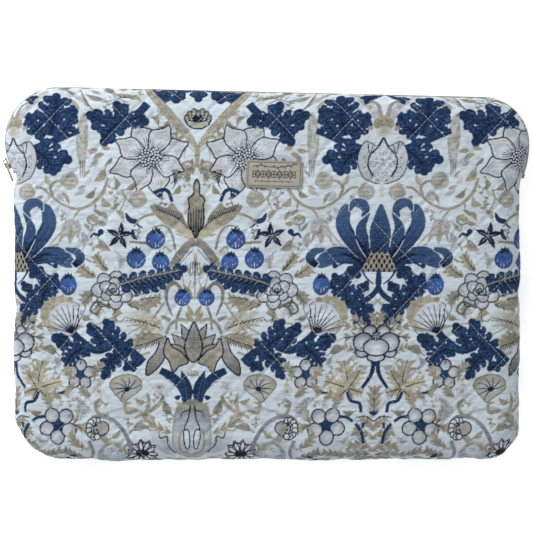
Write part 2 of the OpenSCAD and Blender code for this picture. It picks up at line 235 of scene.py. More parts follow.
def lobed(a, b, w, bend=0, n=4, col=NAVY, veins=True, stem=0.0, round_=1.0):
    """An oak-like leaf: pairs of round, notched lobes set along a curved midrib with gaps between them."""
    a, b = np.asarray(a, float), np.asarray(b, float)
    d = b - a
    L = max(np.hypot(*d), 1e-9)
    n = max(n - 1, int(round(L / 10.5)), 2)
    t_ = d / L
    nr = np.array([-t_[1], t_[0]])
    mid = lambda t: a + d * t + nr * bend * math.sin(math.pi * t)
    sp = L / (n + 0.35)
    lobes, m = [], 0.3 if col is NAVY else 0.18
    for k in range(n):
        t = (k + 0.42) / (n + 0.35)
        reach = w / 2 * (0.60 + 0.46 * math.sin(math.pi * min(1, 0.12 + t * 0.95)))
        for sd in (-1, 1):
            r = min(sp * 0.43, w * 0.21) * (1 - 0.10 * t) * (1 + 0.1 * math.sin(7 * k + sd))
            dv = nr * sd + t_ * (0.5 + 0.25 * t)
            dv /= np.hypot(*dv)
            pv = np.array([-dv[1], dv[0]])
            root = mid(max(0, t - 0.22 / n))
            tip = root + dv * max(reach - r, r * 0.6)
            fill(ribbon([root, (root + tip) / 2, tip], r * 1.15, r * 1.6), col, m)
            for q, s in ((tip + dv * r * 0.35, 0.92), (tip + pv * r * 0.78 - dv * r * 0.35, 0.70), (tip - pv * r * 0.78 - dv * r * 0.35, 0.70),
                         (root + (tip - root) * 0.45 + pv * r * 0.5, 0.52), (root + (tip - root) * 0.45 - pv * r * 0.5, 0.52)):
                fill(disc(q, r * s, n=14), col, m)
            lobes.append((root, tip, dv, pv, r))
    e = mid(1.0)
    r = sp * 0.5
    for q, s in ((e, 1.0), (e - t_ * r + nr * r * 0.9, 0.75), (e - t_ * r - nr * r * 0.9, 0.75), (e - t_ * r * 1.1, 1.0)):
        fill(disc(q, r * s, n=16), col, m)
    fill(ribbon([mid(t) for t in (0, 0.3, 0.6, 0.95)], w * 0.30, w * 0.24, w * 0.50), col, m)
    for root, tip, dv, pv, r in lobes:
        fill(disc(root + (tip - root) * 0.86 + t_ * r * 0.2, r * 0.72, n=12), NAVYL, 0.3, a=0.34)
        fill(disc(root + (tip - root) * 0.42 - t_ * r * 0.3, r * 0.6, n=12), NAVYL, 0.3, a=0.26)
    if stem:
        stroke([mid(0), mid(0.25), mid(0.5)], stem, stem * 0.5, col, mot=0.18)
    for root, tip, dv, pv, r in lobes[2:]:
        s = 1 if np.dot(pv, t_) < 0 else -1
        stroke([root + (tip - root) * 0.58 + pv * s * r * 1.16, root + (tip - root) * 1.0 + pv * s * r * 1.34], 0.4, 2.0, GROUND)
    if veins:
        dark, light = NAVYD, NAVYL
        stroke([mid(t) for t in (0.02, 0.35, 0.65, 0.97)], 1.5, 0.6, dark)
        for root, tip, dv, pv, r in lobes:
            stroke([root, tip - dv * r * 0.1], 1.0, 0.45, dark)
            for s in (-1, 1):
                stroke([root + (tip - root) * 0.55, tip + pv * s * r * 0.6], 0.6, 0.3, dark)
                stroke([tip + pv * s * r * 0.25 - dv * r * 0.2, tip + pv * s * r * 0.3 + dv * r * 0.7], 0.7, 0.4, light)
                stroke([root + (tip - root) * 0.3 + pv * s * r * 0.4, root + (tip - root) * 0.75 + pv * s * r * 0.62], 0.7, 0.35, light)


def acanthus(a, b, w, bend=0, n=5, col=NAVY, vein=NAVYD):
    """A feathery leaf. Navy ones have round lobes; pale ones have pointed lobes swept along the midrib."""
    if col is NAVY:
        lobed(a, b, w, bend, n)
        return
    a, b = np.asarray(a, float), np.asarray(b, float)
    d = b - a
    L = max(np.hypot(*d), 1e-9)
    t_ = d / L
    nr = np.array([-t_[1], t_[0]])
    mid = lambda t: a + d * t + nr * bend * math.sin(math.pi * t)
    for k in range(n):
        t = k / n
        s = w / 2 * (0.5 + 0.75 * math.sin(math.pi * (0.15 + 0.75 * t)))
        for sd in (-1, 1):
            r0, tip = mid(t), mid(min(1, t + 0.22)) + nr * sd * s + t_ * s * 0.25
            fill(blade(r0 - t_ * 1.5, tip, s * 0.62, sd * -s * 0.16, 0.7), col, 0.22)
            stroke([r0, tip * 0.75 + r0 * 0.25], 0.55, 0.25, col * 0.8)
    fill(blade(mid(0.6), b + t_ * w * 0.12, w * 0.34, bend * 0.2, 0.7), col, 0.2)
    fill(ribbon([mid(t) for t in (0, 0.33, 0.66, 1)], w * 0.14, w * 0.05), col, 0.2)
    stroke([mid(t) for t in (0, 0.33, 0.66, 0.95)], 0.8, 0.3, col * 0.8)


def daisy(c, r, n=8, rot=0.0, rc=0.3, squash=1.0, tilt=0.0):
    """A big outlined flower with lined petals and a seeded eye."""
    c = np.asarray(c, float)
    order = list(range(n))
    for k in order[::2] + order[1::2]:
        a = rot + 2 * math.pi * k / n
        rr = r * (1 + 0.12 * math.sin(3 * k + 1))
        dirv = np.array([math.cos(a), math.sin(a) * squash])
        side = np.array([-math.sin(a), math.cos(a) * squash])
        w = r * 0.34
        lean = side * w * 0.28 * math.sin(2.3 * k)
        pts = [c + dirv * rr * 0.2 - side * w * 0.25, c + dirv * rr * 0.45 - side * w * 0.78, c + dirv * rr * 0.70 - side * w * 0.92, c + dirv * rr * 0.9 - side * w * 0.42 + lean,
               c + dirv * rr * 1.10 + lean, c + dirv * rr * 0.93 + side * w * 0.36 + lean, c + dirv * rr * 0.72 + side * w * 0.90, c + dirv * rr * 0.45 + side * w * 0.78, c + dirv * rr * 0.2 + side * w * 0.25]
        p = spline(pts, 6, True)
        fill(p, PALE, 0.05, grad=(tuple(c), rr * 1.5, GREY))
        edge(p, 0.95)
        for j in range(-3, 4):
            q = c + dirv * rr * (0.46 + 0.16 * rngp.random()) + side * w * 0.24 * j
            stroke([c + dirv * rr * 0.26 + side * w * 0.08 * j, q], 0.85, 0.25)
        for j in range(-3, 4):
            q0, q1 = c + dirv * rr * (0.60 + 0.08 * rngp.random()) + side * w * 0.24 * j, c + dirv * rr * (0.98 - 0.05 * abs(j)) + side * w * 0.10 * j + lean
            stroke([q0, q1], 0.55, 0.35, GREY * 0.86)
    fill(disc(c, r * rc, r * rc * squash), INK)
    for k in range(46):
        a, q = 2.39996 * k, r * rc * 1.02 * math.sqrt((k + 0.5) / 46)
        fill(disc(c + (q * math.cos(a), q * math.sin(a) * squash), r * 0.033, n=8), PALE, 0.02)


def rosette(c, r, n=5, rot=0.0, skip=()):
    """Round outlined petals about a dark star."""
    c = np.asarray(c, float)
    for k in range(n):
        if k in skip:
            continue
        a = rot + 2 * math.pi * k / n
        q = c + (math.cos(a) * r * 0.60, math.sin(a) * r * 0.60)
        p = disc(q, r * 0.41, r * 0.37, a)
        fill(p, PALE * 0.95, 0.05, grad=(tuple(q + (1.5, 2.0)), r * 0.75, GREYD))
        edge(p, 1.0)
        for j in range(-3, 4):
            aa = a + j * 0.16
            stroke([c + np.array([math.cos(aa), math.sin(aa)]) * r * 0.72, c + np.array([math.cos(aa), math.sin(aa)]) * r * 0.9], 0.3, 0.2, GREYD)
    s = [c + np.array([math.cos(rot + math.pi * k / n), math.sin(rot + math.pi * k / n)]) * r * (0.44 if k % 2 else 0.26) for k in range(2 * n)]
    fill(np.array(s), NAVY * 0.9, 0.2)
    for k in range(16):
        fill(disc(c + (r * 0.26 * math.sqrt(k / 16) * math.cos(2.4 * k), r * 0.26 * math.sqrt(k / 16) * math.sin(2.4 * k)), 0.36, n=6), NAVYL * 1.3, 0.02)


def berry(c, r, rot=0.0, ry=1.0):
    """A plain round berry with a small star of sepals."""
    c = np.asarray(c, float)
    fill(disc(c, r, r * ry, rot), BLUE, 0.22, grad=((c[0] - r * 0.25, c[1] - r * 0.3), r * 1.9, BLUE * 0.66))
    fill(disc(c + (-r * 0.35, -r * 0.05), r * 0.24, r * 0.4, 0.5), BLUE * 1.3, 0.1, a=0.45)
    for k in range(-2, 3):
        stroke([c + (k * r * 0.34, r * (0.3 - 0.05 * k * k)), c + (k * r * 0.3, r * (0.84 - 0.12 * k * k))], 0.6, 0.3, SEED)
    top = c + (math.sin(rot) * r * ry * 0.86, -math.cos(rot) * r * ry * 0.86)
    for k in range(5):
        a = rot - math.pi / 2 + (k - 2) * 0.75
        fill(blade(top + (0, r * 0.12), top + np.array([math.cos(a), math.sin(a) * 0.75]) * r * 0.62, r * 0.3, (k - 2) * r * 0.06), NAVY * 0.85, 0.15)


# ---------------------------------------------------------------- where each motif lies
def draw_print():
    B = HALF
    # soft tan leaf and scroll groundwork
    g = dict(mot=0.2)
    for (a, b, w, bd, c) in [
        ((62, 96), (88, 92), 5, 1, TAN), ((92, 100), (112, 92), 6, 2, TAUPE), ((66, 104), (84, 110), 4, 1, TAN), ((96, 92), (106, 84), 5, 1, TAN),
        ((108, 108), (116, 92), 4, 1, TAN), ((112, 104), (128, 90), 5, -1, GREY), ((116, 110), (132, 96), 4, -1, TAN), ((121, 92), (131, 86), 4, 1, TAUPE),
        ((86, 150), (96, 144), 5, 1, TAN), ((92, 154), (104, 160), 5, -1, TAN), ((84, 158), (92, 166), 4, 1, TAUPE), ((98, 150), (110, 151), 5, 1, TAN),
        ((104, 176), (111, 185), 5, 1, GREY), ((106, 170), (113, 178), 3, 0, TAN), ((110, 188), (122, 196), 5, 1, GREY), ((118, 190), (108, 186), 3, 1, TAN),
        ((145, 186), (150, 174), 5, 1, TAN), ((143, 188), (147, 178), 3, -1, GREY), ((152, 196), (160, 199), 4, 1, TAN), ((136, 190), (131, 202), 7, -2, GREY),
        ((133, 192), (126, 205), 4, 1, TAN), ((136, 208), (144, 212), 5, 1, GREY), ((97, 222), (104, 214), 7, 1, TAN), ((94, 216), (103, 210), 4, -1, TAUPE),
        ((84, 206), (93, 196), 7, 4, TAN), ((72, 196), (80, 190), 4, 1, GREY), ((108, 224), (100, 214), 5, 2, TAN), ((104, 232), (112, 222), 4, 0, TAN)]:
        leaf(a, b, w, bd, c)
    # top band: leaf tips hanging from the edge
    for q in ((0, 70, 0, 98, 22, 0), (10, 68, 22, 99, 20, -2), (30, 66, 36, 103, 22, 3), (48, 78, 40, 97, 12, 1)):
        lobed(q[:2], q[2:4], q[4], q[5], 3)
    stroke([(22, 60), (20, 74), (14, 90)], 8, 4, NAVY, mot=.18)
    # broad pale-brown stems meeting on the mirror line
    stroke([(52, 78), (44, 96), (24, 120), (8, 138), (0, 150)], 6, 4, TAUPE * 1.16, wm=9, mot=.25, speck=(TAUPE * 1.38, .42))
    for o in (-2.4, 0, 2.4):
        stroke([(48 + o, 86 + o), (42 + o, 98 + o), (25 + o, 118 + o), (11 + o, 134 + o)], .7, .5, TAUPE * .9)
    for a, b, w, bd in (((34, 112), (22, 130), 9, 3), ((28, 122), (32, 134), 8, -2), ((20, 128), (30, 140), 8, 3), ((40, 104), (38, 118), 7, 2), ((14, 136), (20, 150), 8, -2), ((10, 142), (22, 156), 6, 3)):
        acanthus(a, b, w, bd, 3, TAN, None)
    stroke([(0, 146), (0, 168)], 6, 4, TAN, mot=.25)
    stroke([(3, 152), (10, 146), (14, 150), (12, 160)], 2.6, 1, GREY)
    stroke([(2, 168), (8, 162), (16, 166), (20, 178), (26, 184)], 3, 1.5, TAN)
    acanthus((3, 170), (22, 176), 14, -3, 4, TAN, None)
    acanthus((5, 160), (12, 182), 8, 2, 3, TAUPE, None)
    stroke([(44, 112), (50, 120), (48, 130)], 2.5, 1, GREY)
    stroke([(55, 112), (50, 124), (54, 134), (50, 144)], 2.4, 1, TAN)
    stroke([(40, 108), (36, 120)], 2, 1, GREY)
    # crown flower
    cup = spline([(-12, 117), (-11, 124), (-5, 128.5), (0, 129), (5, 128.5), (11, 124), (12, 117), (7, 121), (0, 122), (-7, 121)], 6, True)
    fill(cup, TAN, .15, grad=((0, 124), 12, PALE)); edge(cup, 1.1)
    fill(disc((0, 119), 6, 3), INK)
    for x, y in ((0, 113), (4.2, 111), (8.4, 114), (11, 117.5)):
        fill(disc((x, y), 2.9), TAN, .2, grad=((x, y), 3.4, TAUPE)); edge(disc((x, y + 1.5), 2.4, 3.6), .7)
    for x in (2, 5, 8):
        stroke([(x, 120), (x * 1.3, 115)], .8, .4)
    # small open flower with a dark eye, and its stem
    for k in range(5):
        a = .4 + k * 1.257
        fill(disc((33.5 + 4.2 * math.cos(a), 133.5 + 4.2 * math.sin(a)), 2.9), TAN, .2); edge(disc((33.5 + 4.2 * math.cos(a), 133.5 + 4.2 * math.sin(a)), 2.9), .55)
    fill(disc((33.5, 133.5), 3.2, 2.6), NAVYD)
    stroke([(30, 137), (26, 141), (23.5, 146)], .9, .4)
    # big daisy
    daisy((46.5, 158), 35, 8, .35, .31)
    # dark combed strokes by the daisy
    for k in range(7):
        stroke([(25 - k * .4, 170 + k * 1.6), (17 + k * .8, 171.5 + k * 2.3), (12.5 + k * 2.0, 172 + k * 2.9)], 1.0, .4)
    # oak-leaf cluster right of the daisy
    stroke([(50, 104), (57, 112), (68, 119), (80, 126)], 9, 6, NAVY, mot=.2)
    lobed((66, 124), (80, 106), 24, 2, 3)
    lobed((74, 124), (106, 116), 26, 3, 4)
    lobed((78, 124), (92, 142), 24, -3, 3)
    lobed((72, 122), (52, 122), 14, 3, 2)
    acanthus((66, 126), (54, 118), 10, -2, 3)
    # slender hanging pod between the clusters
    p = spline([(112, 113), (117, 120), (120, 140), (118, 160), (113, 170), (110, 158), (108, 140), (109, 122)], 6, True)
    fill(p, TAUPE * 1.22, .3, grad=((114, 140), 28, GREY), speck=(TAUPE * 1.02, .5))
    for k in range(4):
        stroke([(112 + k * 1.9, 122 + 3 * k), (113 + k * 1.7, 140), (112 + k * 1.2, 160)], .9, .4, GROUND * .95)
    for k in range(3):
        stroke([(111 + k * 2.4, 160), (111.5 + k * 2, 172), (109 + k * 3, 178)], 1.4, .5, TAUPE)
    stroke([(94, 112), (104, 110), (111, 100), (117, 84)], 1.1, .9)
    stroke([(98, 116), (107, 113), (113, 117)], 1.0, .8)
    stroke([(63, 99), (72, 97), (84, 100), (95, 103)], 1.1, .6)
    stroke([(70, 103), (78, 100), (86, 104)], .9, .4)
    for k in range(5):
        stroke([(66 + 5 * k, 97.5), (69 + 5 * k, 94)], .8, .3)
    # oak-leaf clusters beside the bud
    stroke([(117, 131), (130, 136), (150, 145), (168, 152)], 6, 9, NAVY, mot=.2)
    lobed((146, 136), (140, 96), 42, -2, 5)
    lobed((158, 148), (128, 160), 30, -4, 4)
    lobed((160, 150), (142, 172), 26, 3, 4)
    lobed((150, 136), (168, 116), 20, 2, 3)
    lobed((138, 136), (122, 112), 18, -2, 3)
    # the bud on the second mirror line
    stroke([(149, 88), (160, 96), (170, 108), (178, 121)], 6, 7, GREY, wm=9, mot=.22, speck=(GREYD, .8))
    fill(blade((158, 96), (B, 84), 10, 2), NAVY, .2); fill(blade((164, 104), (176, 88), 9, -2), NAVY, .2)
    stroke([(169, 98), (177, 105), (B - 3, 118)], 3, 4.4, TAUPE, mot=.25)
    cap = spline([(B - 9, 128), (B - 10, 122), (B - 5, 117), (B, 116), (B + 5, 117), (B + 10, 122), (B + 9, 128), (B, 130)], 6, True)
    fill(cap, TAN, .2, speck=(TAUPED * .7, .62))
    fill(disc((B, 132), 8, 5), TAN * 1.1, .12, grad=((B, 130), 10, GROUND))
    leaf((B - 11, 131), (B - 16, 127), 4, 1, TAN)
    bud = spline([(B, 138), (B - 6, 146), (B - 18, 142), (B - 25, 158), (B - 20, 176), (B - 8, 183), (B, 184), (B + 8, 183), (B + 20, 176), (B + 25, 158), (B + 18, 142), (B + 6, 146)], 8, True)
    fill(bud, GROUND * 1.0, .04, grad=((B, 160), 30, GREY * .98))
    edge(bud, .7)
    stroke([(B, 138), (B - 4, 146), (B - 13, 156), (B - 14, 167), (B - 9, 177)], 1.0, 1.8)
    stroke([(B - 15, 143), (B - 14.5, 150), (B - 12.5, 155)], 1.1, .7)
    stroke([(B - 10, 146), (B - 12, 152)], .9, .5)
    rr = np.random.default_rng(5)
    for _ in range(150):
        x, y = rr.uniform(-20, 20), rr.uniform(152, 182)
        if (x / 21) ** 2 + ((y - 160) / 24) ** 2 < 1:
            fill(disc((B + x, y), .42, n=6), INK, .02)
    stroke([(B, 181), (B, 197)], 4.4, 4, GREY * 1.02, mot=.25, speck=(TAUPE * 1.1, .6))
    # pale scroll with mottled buds and a bell
    stroke([(88, 178), (93, 192), (104, 204), (118, 209), (132, 205), (144, 196), (152, 189), (160, 187)], 3, 2.4, TAN, mot=.2)
    stroke([(142, 197), (145, 188), (140, 182), (134, 181)], 3, 2.2, TAN, mot=.2)
    stroke([(114, 208), (119, 214), (122, 220)], 2.2, 1.6, TAN)
    stroke([(101, 202), (100, 210)], 2.6, 1.2, TAN)
    for c, r in (((126, 181), 9), ((168, 192), 8.5), ((58, 199), 9)):
        fill(spline([(c[0] - r, c[1]), (c[0] - r * .3, c[1] - r), (c[0] + r * .8, c[1] - r * .6), (c[0] + r, c[1] + r * .3), (c[0] + r * .2, c[1] + r), (c[0] - r * .7, c[1] + r * .7)], 6, True), GREY, .25, grad=(c, r * 1.4, TAUPE * 1.15), speck=(TAUPE, .55))
        for k in (-1, 0, 1):
            leaf((c[0] - r * .8, c[1] + k * 4), (c[0] + r * .9, c[1] + k * 3), 2.4, k, TAN)
    bell = spline([(116, 236), (114, 226), (121, 218), (130, 221), (134, 232), (136, 243), (129, 236), (125, 244), (120, 235), (115, 243)], 6, True)
    fill(bell, GREY, .25, grad=((125, 222), 22, TAUPE * 1.2), speck=(TAUPE, .55))
    leaf((124, 224), (127, 242), 3, 1, TAN)
    stroke([(130, 228), (139, 238), (146, 246)], 1.6, 1, TAN)
    stroke([(136, 244), (146, 247), (158, 246)], 2.2, .8, TAN)
    stroke([(95, 222), (103, 225), (108, 220), (105, 216)], 2.2, 1.4, GREYD * 1.15)
    stroke([(103, 225), (103, 231)], 2, 1.4, GREYD * 1.15)
    stroke([(94, 231), (97, 235), (102, 234), (105, 238)], 4.4, 1.6, NAVY); fill(disc((94.5, 232), 3), NAVY, .2)
    # right of the centre: twigs, crescents, star
    stroke([(74, 190), (71, 200), (76, 211)], 2.4, 1.2, TAN); stroke([(71, 198), (65, 202)], 2.2, 1.4, TAN)
    stroke([(90, 190), (98, 200), (106, 206)], 2.4, 2, TAN)
    leaf((86, 208), (78, 203), 4, -3, TAN); leaf((88, 224), (99, 220), 5, 2, TAN); leaf((96, 212), (88, 222), 5, 2, TAN)
    stroke([(58, 222), (66, 220), (70, 213)], 4.4, 1.4, NAVY, wm=5); stroke([(53, 228), (58, 225), (59, 220)], 1.2, 3, NAVY)
    stroke([(58, 240), (62, 236), (63, 229)], 1, 2.2, NAVY, wm=4); stroke([(24, 202), (28, 192), (34, 190), (42, 193)], 3.4, 4, NAVY, mot=.2)
    fill(disc((36, 196), 2.6), NAVY, .2)
    for k in range(26):
        a = k * .2417
        stroke([(76 + 6 * math.cos(a), 236 + 6 * math.sin(a)), (76 + 14 * math.cos(a), 236 + 14 * math.sin(a))], .9, .3, TAN)
    for k in range(5):
        a = -1.7 + k * 1.2566
        fill(blade((76, 236), (76 + 14.5 * math.cos(a), 236 + 14.5 * math.sin(a)), 5.4, (k - 2) * .5), NAVYD * 1.15, .15)
        stroke([(76, 236), (76 + 9 * math.cos(a), 236 + 9 * math.sin(a))], .7, .2, GREY)
    # centre ornament: a pointed pod in a pale oval, with swept leaves
    fill(disc((0, 206), 13, 17), TAN * 1.08, .12, grad=((0, 206), 17, GROUND))
    sw = spline([(4, 238), (16, 232), (34, 222), (46, 207), (38, 205), (30, 208), (24, 203), (18, 210), (13, 216), (7, 228), (0, 238)], 6, True)
    fill(sw, TAN, .22, grad=((10, 234), 46, TAUPE))
    fill(blade((2, 240), (26, 226), 12, -4), TAN * 1.12, .1)
    for k in range(11):
        stroke([(12 + k * 2.6, 222 - k * 1.1), (15 + k * 2.7, 213 - k * 1.0)], 1.1, .4)
    stroke([(5, 230), (14, 222), (26, 214), (38, 210)], 1.1, .4)
    pod = spline([(0, 179.5), (-3, 186), (-3, 194), (-8, 199), (-7, 206), (-8, 222), (-4, 230), (0, 238), (4, 230), (8, 222), (7, 206), (8, 199), (3, 194), (3, 186)], 7, True)
    fill(pod, TAN, .18, grad=((0, 196), 40, TAUPED)); edge(pod, 1.1)
    for x in (0, 2.2, 4.4):
        stroke([(x, 236 - x * 1.6), (x * 1.2, 214), (x * 1.15, 205 + x)], 1.3, .3)
    # inverted V bands and hanging curls
    for o in (0,):
        stroke([(0, 242), (8, 246), (20, 262), (30, 282)], 8, 9, TAUPE, mot=.3, speck=(TAUPED, .5))
        stroke([(2, 249), (24, 274)], .7, .5)
    stroke([(8, 229), (24, 218), (40, 214), (54, 218), (62, 227)], 2.2, 1.4, TAN, wm=3, mot=.2)
    stroke([(20, 250), (24, 234), (31, 226), (42, 227)], 2.4, 1.8, TAUPE, mot=.2)
    stroke([(24, 252), (30, 247), (32, 250)], 2.6, 1.2, TAN); stroke([(14, 236), (20, 234)], 2, 1, TAN)
    stroke([(40, 246), (50, 243), (66, 242)], 3.4, 2.6, TAUPE, mot=.3)
    stroke([(0, 254), (0, 300)], 3.6, 1.6, TAN, mot=.25)
    for k in range(3):
        stroke([(k * 2.2, 262), (k * 2.6, 276)], 1.0, .3)
    stroke([(4, 280), (9, 292), (14, 268)], 1.6, 1, TAN); leaf((3, 276), (10, 262), 4, 1, TAN)
    leaf((2, 300), (12, 284), 5, -1, TAUPE)
    berry((40, 239.5), 9.8, -.05); berry((34.5, 262), 8.8, .1); berry((59, 259), 9.8, .0)
    # a long curved leaf over a full-blown rose
    def rose(c, r, rot=0.0):
        for ring, n, pr in ((0.66, 7, 0.46), (0.36, 5, 0.38), (0.12, 3, 0.26)):
            for k in range(n):
                a = rot + 2 * math.pi * (k + ring) / n
                q = (c[0] + math.cos(a) * r * ring, c[1] + math.sin(a) * r * ring * 0.86)
                p = disc(q, r * pr, r * pr * 0.82, a)
                fill(p, PALE, 0.05, grad=(q, r * pr * 1.5, GREYD * 1.05)); edge(p, 0.85)
                for j in range(-3, 4):
                    aa = a + j * 0.17
                    stroke([(c[0] + math.cos(aa) * r * (ring + pr * 0.25), c[1] + math.sin(aa) * r * 0.86 * (ring + pr * 0.25)),
                            (c[0] + math.cos(aa) * r * (ring + pr * 0.8), c[1] + math.sin(aa) * r * 0.86 * (ring + pr * 0.8))], 0.4, 0.25, GREYD)
        fill(disc(c, r * 0.13), NAVYD)
        for k in range(9):
            fill(disc((c[0] + r * 0.1 * math.sqrt(k / 9) * math.cos(2.4 * k), c[1] + r * 0.1 * math.sqrt(k / 9) * math.sin(2.4 * k)), 0.45, n=6), SEED, 0.02)
    for a_, b_, w_, bd_, c_ in (((100, 276), (118, 262), 13, 3, TAN), ((98, 292), (112, 304), 12, -3, TAUPE * 1.1), ((66, 304), (44, 312), 12, 3, TAN), ((80, 306), (78, 322), 11, 2, TAN), ((90, 302), (98, 316), 9, -2, TAUPE * 1.1), ((54, 300), (34, 298), 12, -3, TAN), ((88, 270), (100, 254), 11, 2, TAN), ((60, 296), (40, 288), 9, 2, TAUPE * 1.1)):
        acanthus(a_, b_, w_, bd_, 4, c_, None)
        stroke([a_, ((a_[0] + b_[0]) / 2, (a_[1] + b_[1]) / 2 + bd_ * .5), b_], 1.0, .4)
    rose((82, 290), 19, 0.3)
    acanthus((74, 284), (12, 269), 24, -5, 8)
    for k in range(9):
        x = 20 + k * 5.4
        stroke([(x, 271 + k * .9), (x - 4.4, 268.4 + k * .9)], .8, .3, TAN); stroke([(x, 273.4 + k * 1.0), (x - 4.2, 276.8 + k * 1.0)], .8, .3, TAN)
    stroke([(14, 270), (34, 274), (54, 278), (76, 285)], .9, 1.2, TAN)
    stroke([(104, 262), (112, 258), (120, 264)], 2.4, 1.2, TAUPE, mot=.2)
    # bloom on the second mirror line
    for pts, w0, w1, wm in (
        ([(B - 8, 268), (B - 24, 258), (B - 44, 255), (B - 58, 262), (B - 66, 262)], 6, 3, 17),
        ([(B - 62, 266), (B - 69, 259), (B - 65, 252), (B - 54, 249)], 6, 3, 9),
        ([(B - 7, 264), (B - 24, 246), (B - 37, 226), (B - 35, 210), (B - 31, 205)], 7, 2.5, 15),
        ([(B - 31, 211), (B - 27, 203.5), (B - 19, 204), (B - 15, 211), (B - 19, 217)], 2, 1.6, 10),
        ([(B - 5, 262), (B - 15, 244), (B - 19, 228), (B - 11, 213)], 6, 1, 12)):
        rb = ribbon(pts, w0, w1, wm)
        edge(rb, 1.6, GROUND); fill(rb, NAVY * 1.12, .45, grad=((B, 262), 60, rgb(56, 82, 118)), speck=(rgb(72, 98, 134), .5))
        cl = spline(pts, 12)
        dn = np.gradient(cl, axis=0)
        dn /= np.maximum(np.hypot(dn[:, 0], dn[:, 1]), 1e-9)[:, None]
        dn = np.stack([-dn[:, 1], dn[:, 0]], 1)
        tt = np.linspace(0, 1, len(cl))
        wd = (w0 + (w1 - w0) * tt + (wm - (w0 + w1) / 2) * np.sin(math.pi * tt)) / 2
        for j, fr in enumerate((-.8, -.52, -.26, 0, .26, .52, .8)):
            e = int(len(cl) * (.62 - .12 * (j % 3)))
            if w0 > 4:
                stroke((cl + dn * (wd * fr)[:, None])[1:e:6], 1.0, .3, NAVYD)
    cp = spline([(B, 204), (B - 7, 218), (B - 10.5, 232), (B - 8, 252), (B, 266), (B + 8, 252), (B + 10.5, 232), (B + 7, 218)], 8, True)
    edge(cp, 1.8, GROUND); fill(cp, NAVY * 1.12, .45, grad=((B, 262), 52, rgb(56, 82, 118)), speck=(rgb(72, 98, 134), .5))
    for k in range(0, 6):
        stroke([(B - k * 1.5, 262), (B - k * 1.9, 246), (B - k * 1.7, 228 + 3 * k)], 1.1, .3, NAVYD)
    for k in range(7):
        stroke([(B - 8 - 1.4 * k, 266 - .3 * k), (B - 16 - 3.2 * k, 256 - .2 * k), (B - 26 - 3.6 * k, 250.5 + k)], .9, .3, NAVYD)
        stroke([(B - 6 - k, 262 - k * .6), (B - 14 - k * 1.7, 250 - k * 2.0), (B - 20 - 1.9 * k, 242 - k * 2.6)], .9, .3, NAVYD)
    dome = spline([(B - 20, 271), (B - 17, 263), (B - 9, 256), (B, 252.5), (B + 9, 256), (B + 17, 263), (B + 20, 271), (B, 272)], 6, True)
    fill(dome, NAVYD, .1)
    for r_ in range(4):
        for k in range(-3 + r_ // 2, 4 - r_ // 2):
            x, y = k * 5.2 + (2.6 if r_ % 2 else 0), 269.5 - r_ * 4.6 + abs(k) * .5
            if abs(x) < 18.5 - r_ * 3.4:
                stroke([(B + x - 2.2, y + 1.4), (B + x - 1.2, y - 2.2), (B + x + 1.2, y - 2.2), (B + x + 2.2, y + 1.4)], 1.3, 1.3, TAN)
    stroke([(B - 18, 266), (B - 32, 262), (B - 42, 266)], 2.4, 2, NAVY); fill(disc((B - 44, 266), 2.6), NAVY, .2)
    # feathery leaves under the bloom
    stroke([(B, 270), (B, 286), (B - 8, 297), (B - 22, 304), (B - 36, 306)], 4.4, 7, NAVY, mot=.2)
    acanthus((B - 30, 304), (B - 44, 276), 24, 3, 5); acanthus((B - 36, 288), (B - 22, 268), 12, -2, 3)
    acanthus((B - 24, 303), (B - 12, 284), 13, -2, 4); lobed((B - 20, 304), (B - 10, 322), 20, 3, 3)
    acanthus((B - 42, 292), (B - 48, 284), 10, 1, 2); lobed((B - 18, 300), (B - 6, 310), 12, 2, 2)
    stroke([(B - 40, 307), (B - 33, 300)], 6, 5, NAVY)
    stroke([(B - 17, 270), (B - 12, 278), (B - 5, 284)], 2, 1.4, NAVY)
    berry((B - 57, 285), 8.6, 0, 1.2)
    # lower centre: berries, arches and a palmette
    berry((12, 298), 8.2, .1)
    stroke([(13, 289), (20, 283), (27, 288), (28, 300), (22, 316)], 3, 1.4, TAUPE, wm=4, mot=.25)
    stroke([(13, 307), (17, 318), (18, 330)], 2.8, 2, TAUPE, mot=.25)
    stroke([(6, 322), (14, 319), (23, 324), (28, 334)], 3.6, 3.2, TAN, mot=.2)
    stroke([(24, 320), (33, 316)], 4, 3, TAUPE, mot=.3)
    for a, b, w, bd in (((0, 322), (9, 311), 6, 1), ((0, 316), (7, 304), 5, 1)):
        leaf(a, b, w, bd, TAN)
    palm = spline([(0, 322), (-5, 332), (-9, 346), (-6, 357), (0, 362), (6, 357), (9, 346), (5, 332)], 7, True)
    for a, b, w, bd in (((4, 358), (13, 324), 12, -3), ((6, 360), (22, 334), 13, -3), ((8, 361), (27, 344), 13, -2)):
        q = blade(a, b, w, bd)
        fill(q, TAUPE, .2, grad=(a, 40, GREY), hatch=(math.pi / 2, 1.6, .5, TAUPE)); edge(q, .8)
    fill(palm, TAUPE, .2, grad=((0, 348), 20, GREY), hatch=(math.pi / 2, 1.5, .5, TAUPED)); edge(palm, 1.1)
    dl = spline([(28, 336), (34, 342), (38, 352), (46, 362), (47, 375), (38, 370), (30, 360), (28, 350)], 6, True)
    fill(dl, GREY, .2, grad=((30, 345), 36, TAUPED), hatch=(.4, 2.0, .7, TAUPED)); edge(dl, 1.0)
    dl2 = spline([(26, 338), (22, 346), (12, 352), (5, 362), (14, 366), (20, 372), (24, 362), (30, 352)], 6, True)
    fill(dl2, TAN, .2, grad=((22, 350), 24, TAUPE)); edge(dl2, 1.0)
    acanthus((30, 338), (60, 345), 16, -3, 5, TAN, None)
    for k in range(10):
        stroke([(34 + k * 2.5, 340 + k * .5), (36 + k * 2.5, 346 + k * .4)], 1.0, .4)
    stroke([(31, 337), (42, 341), (58, 346)], 1.2, .5)
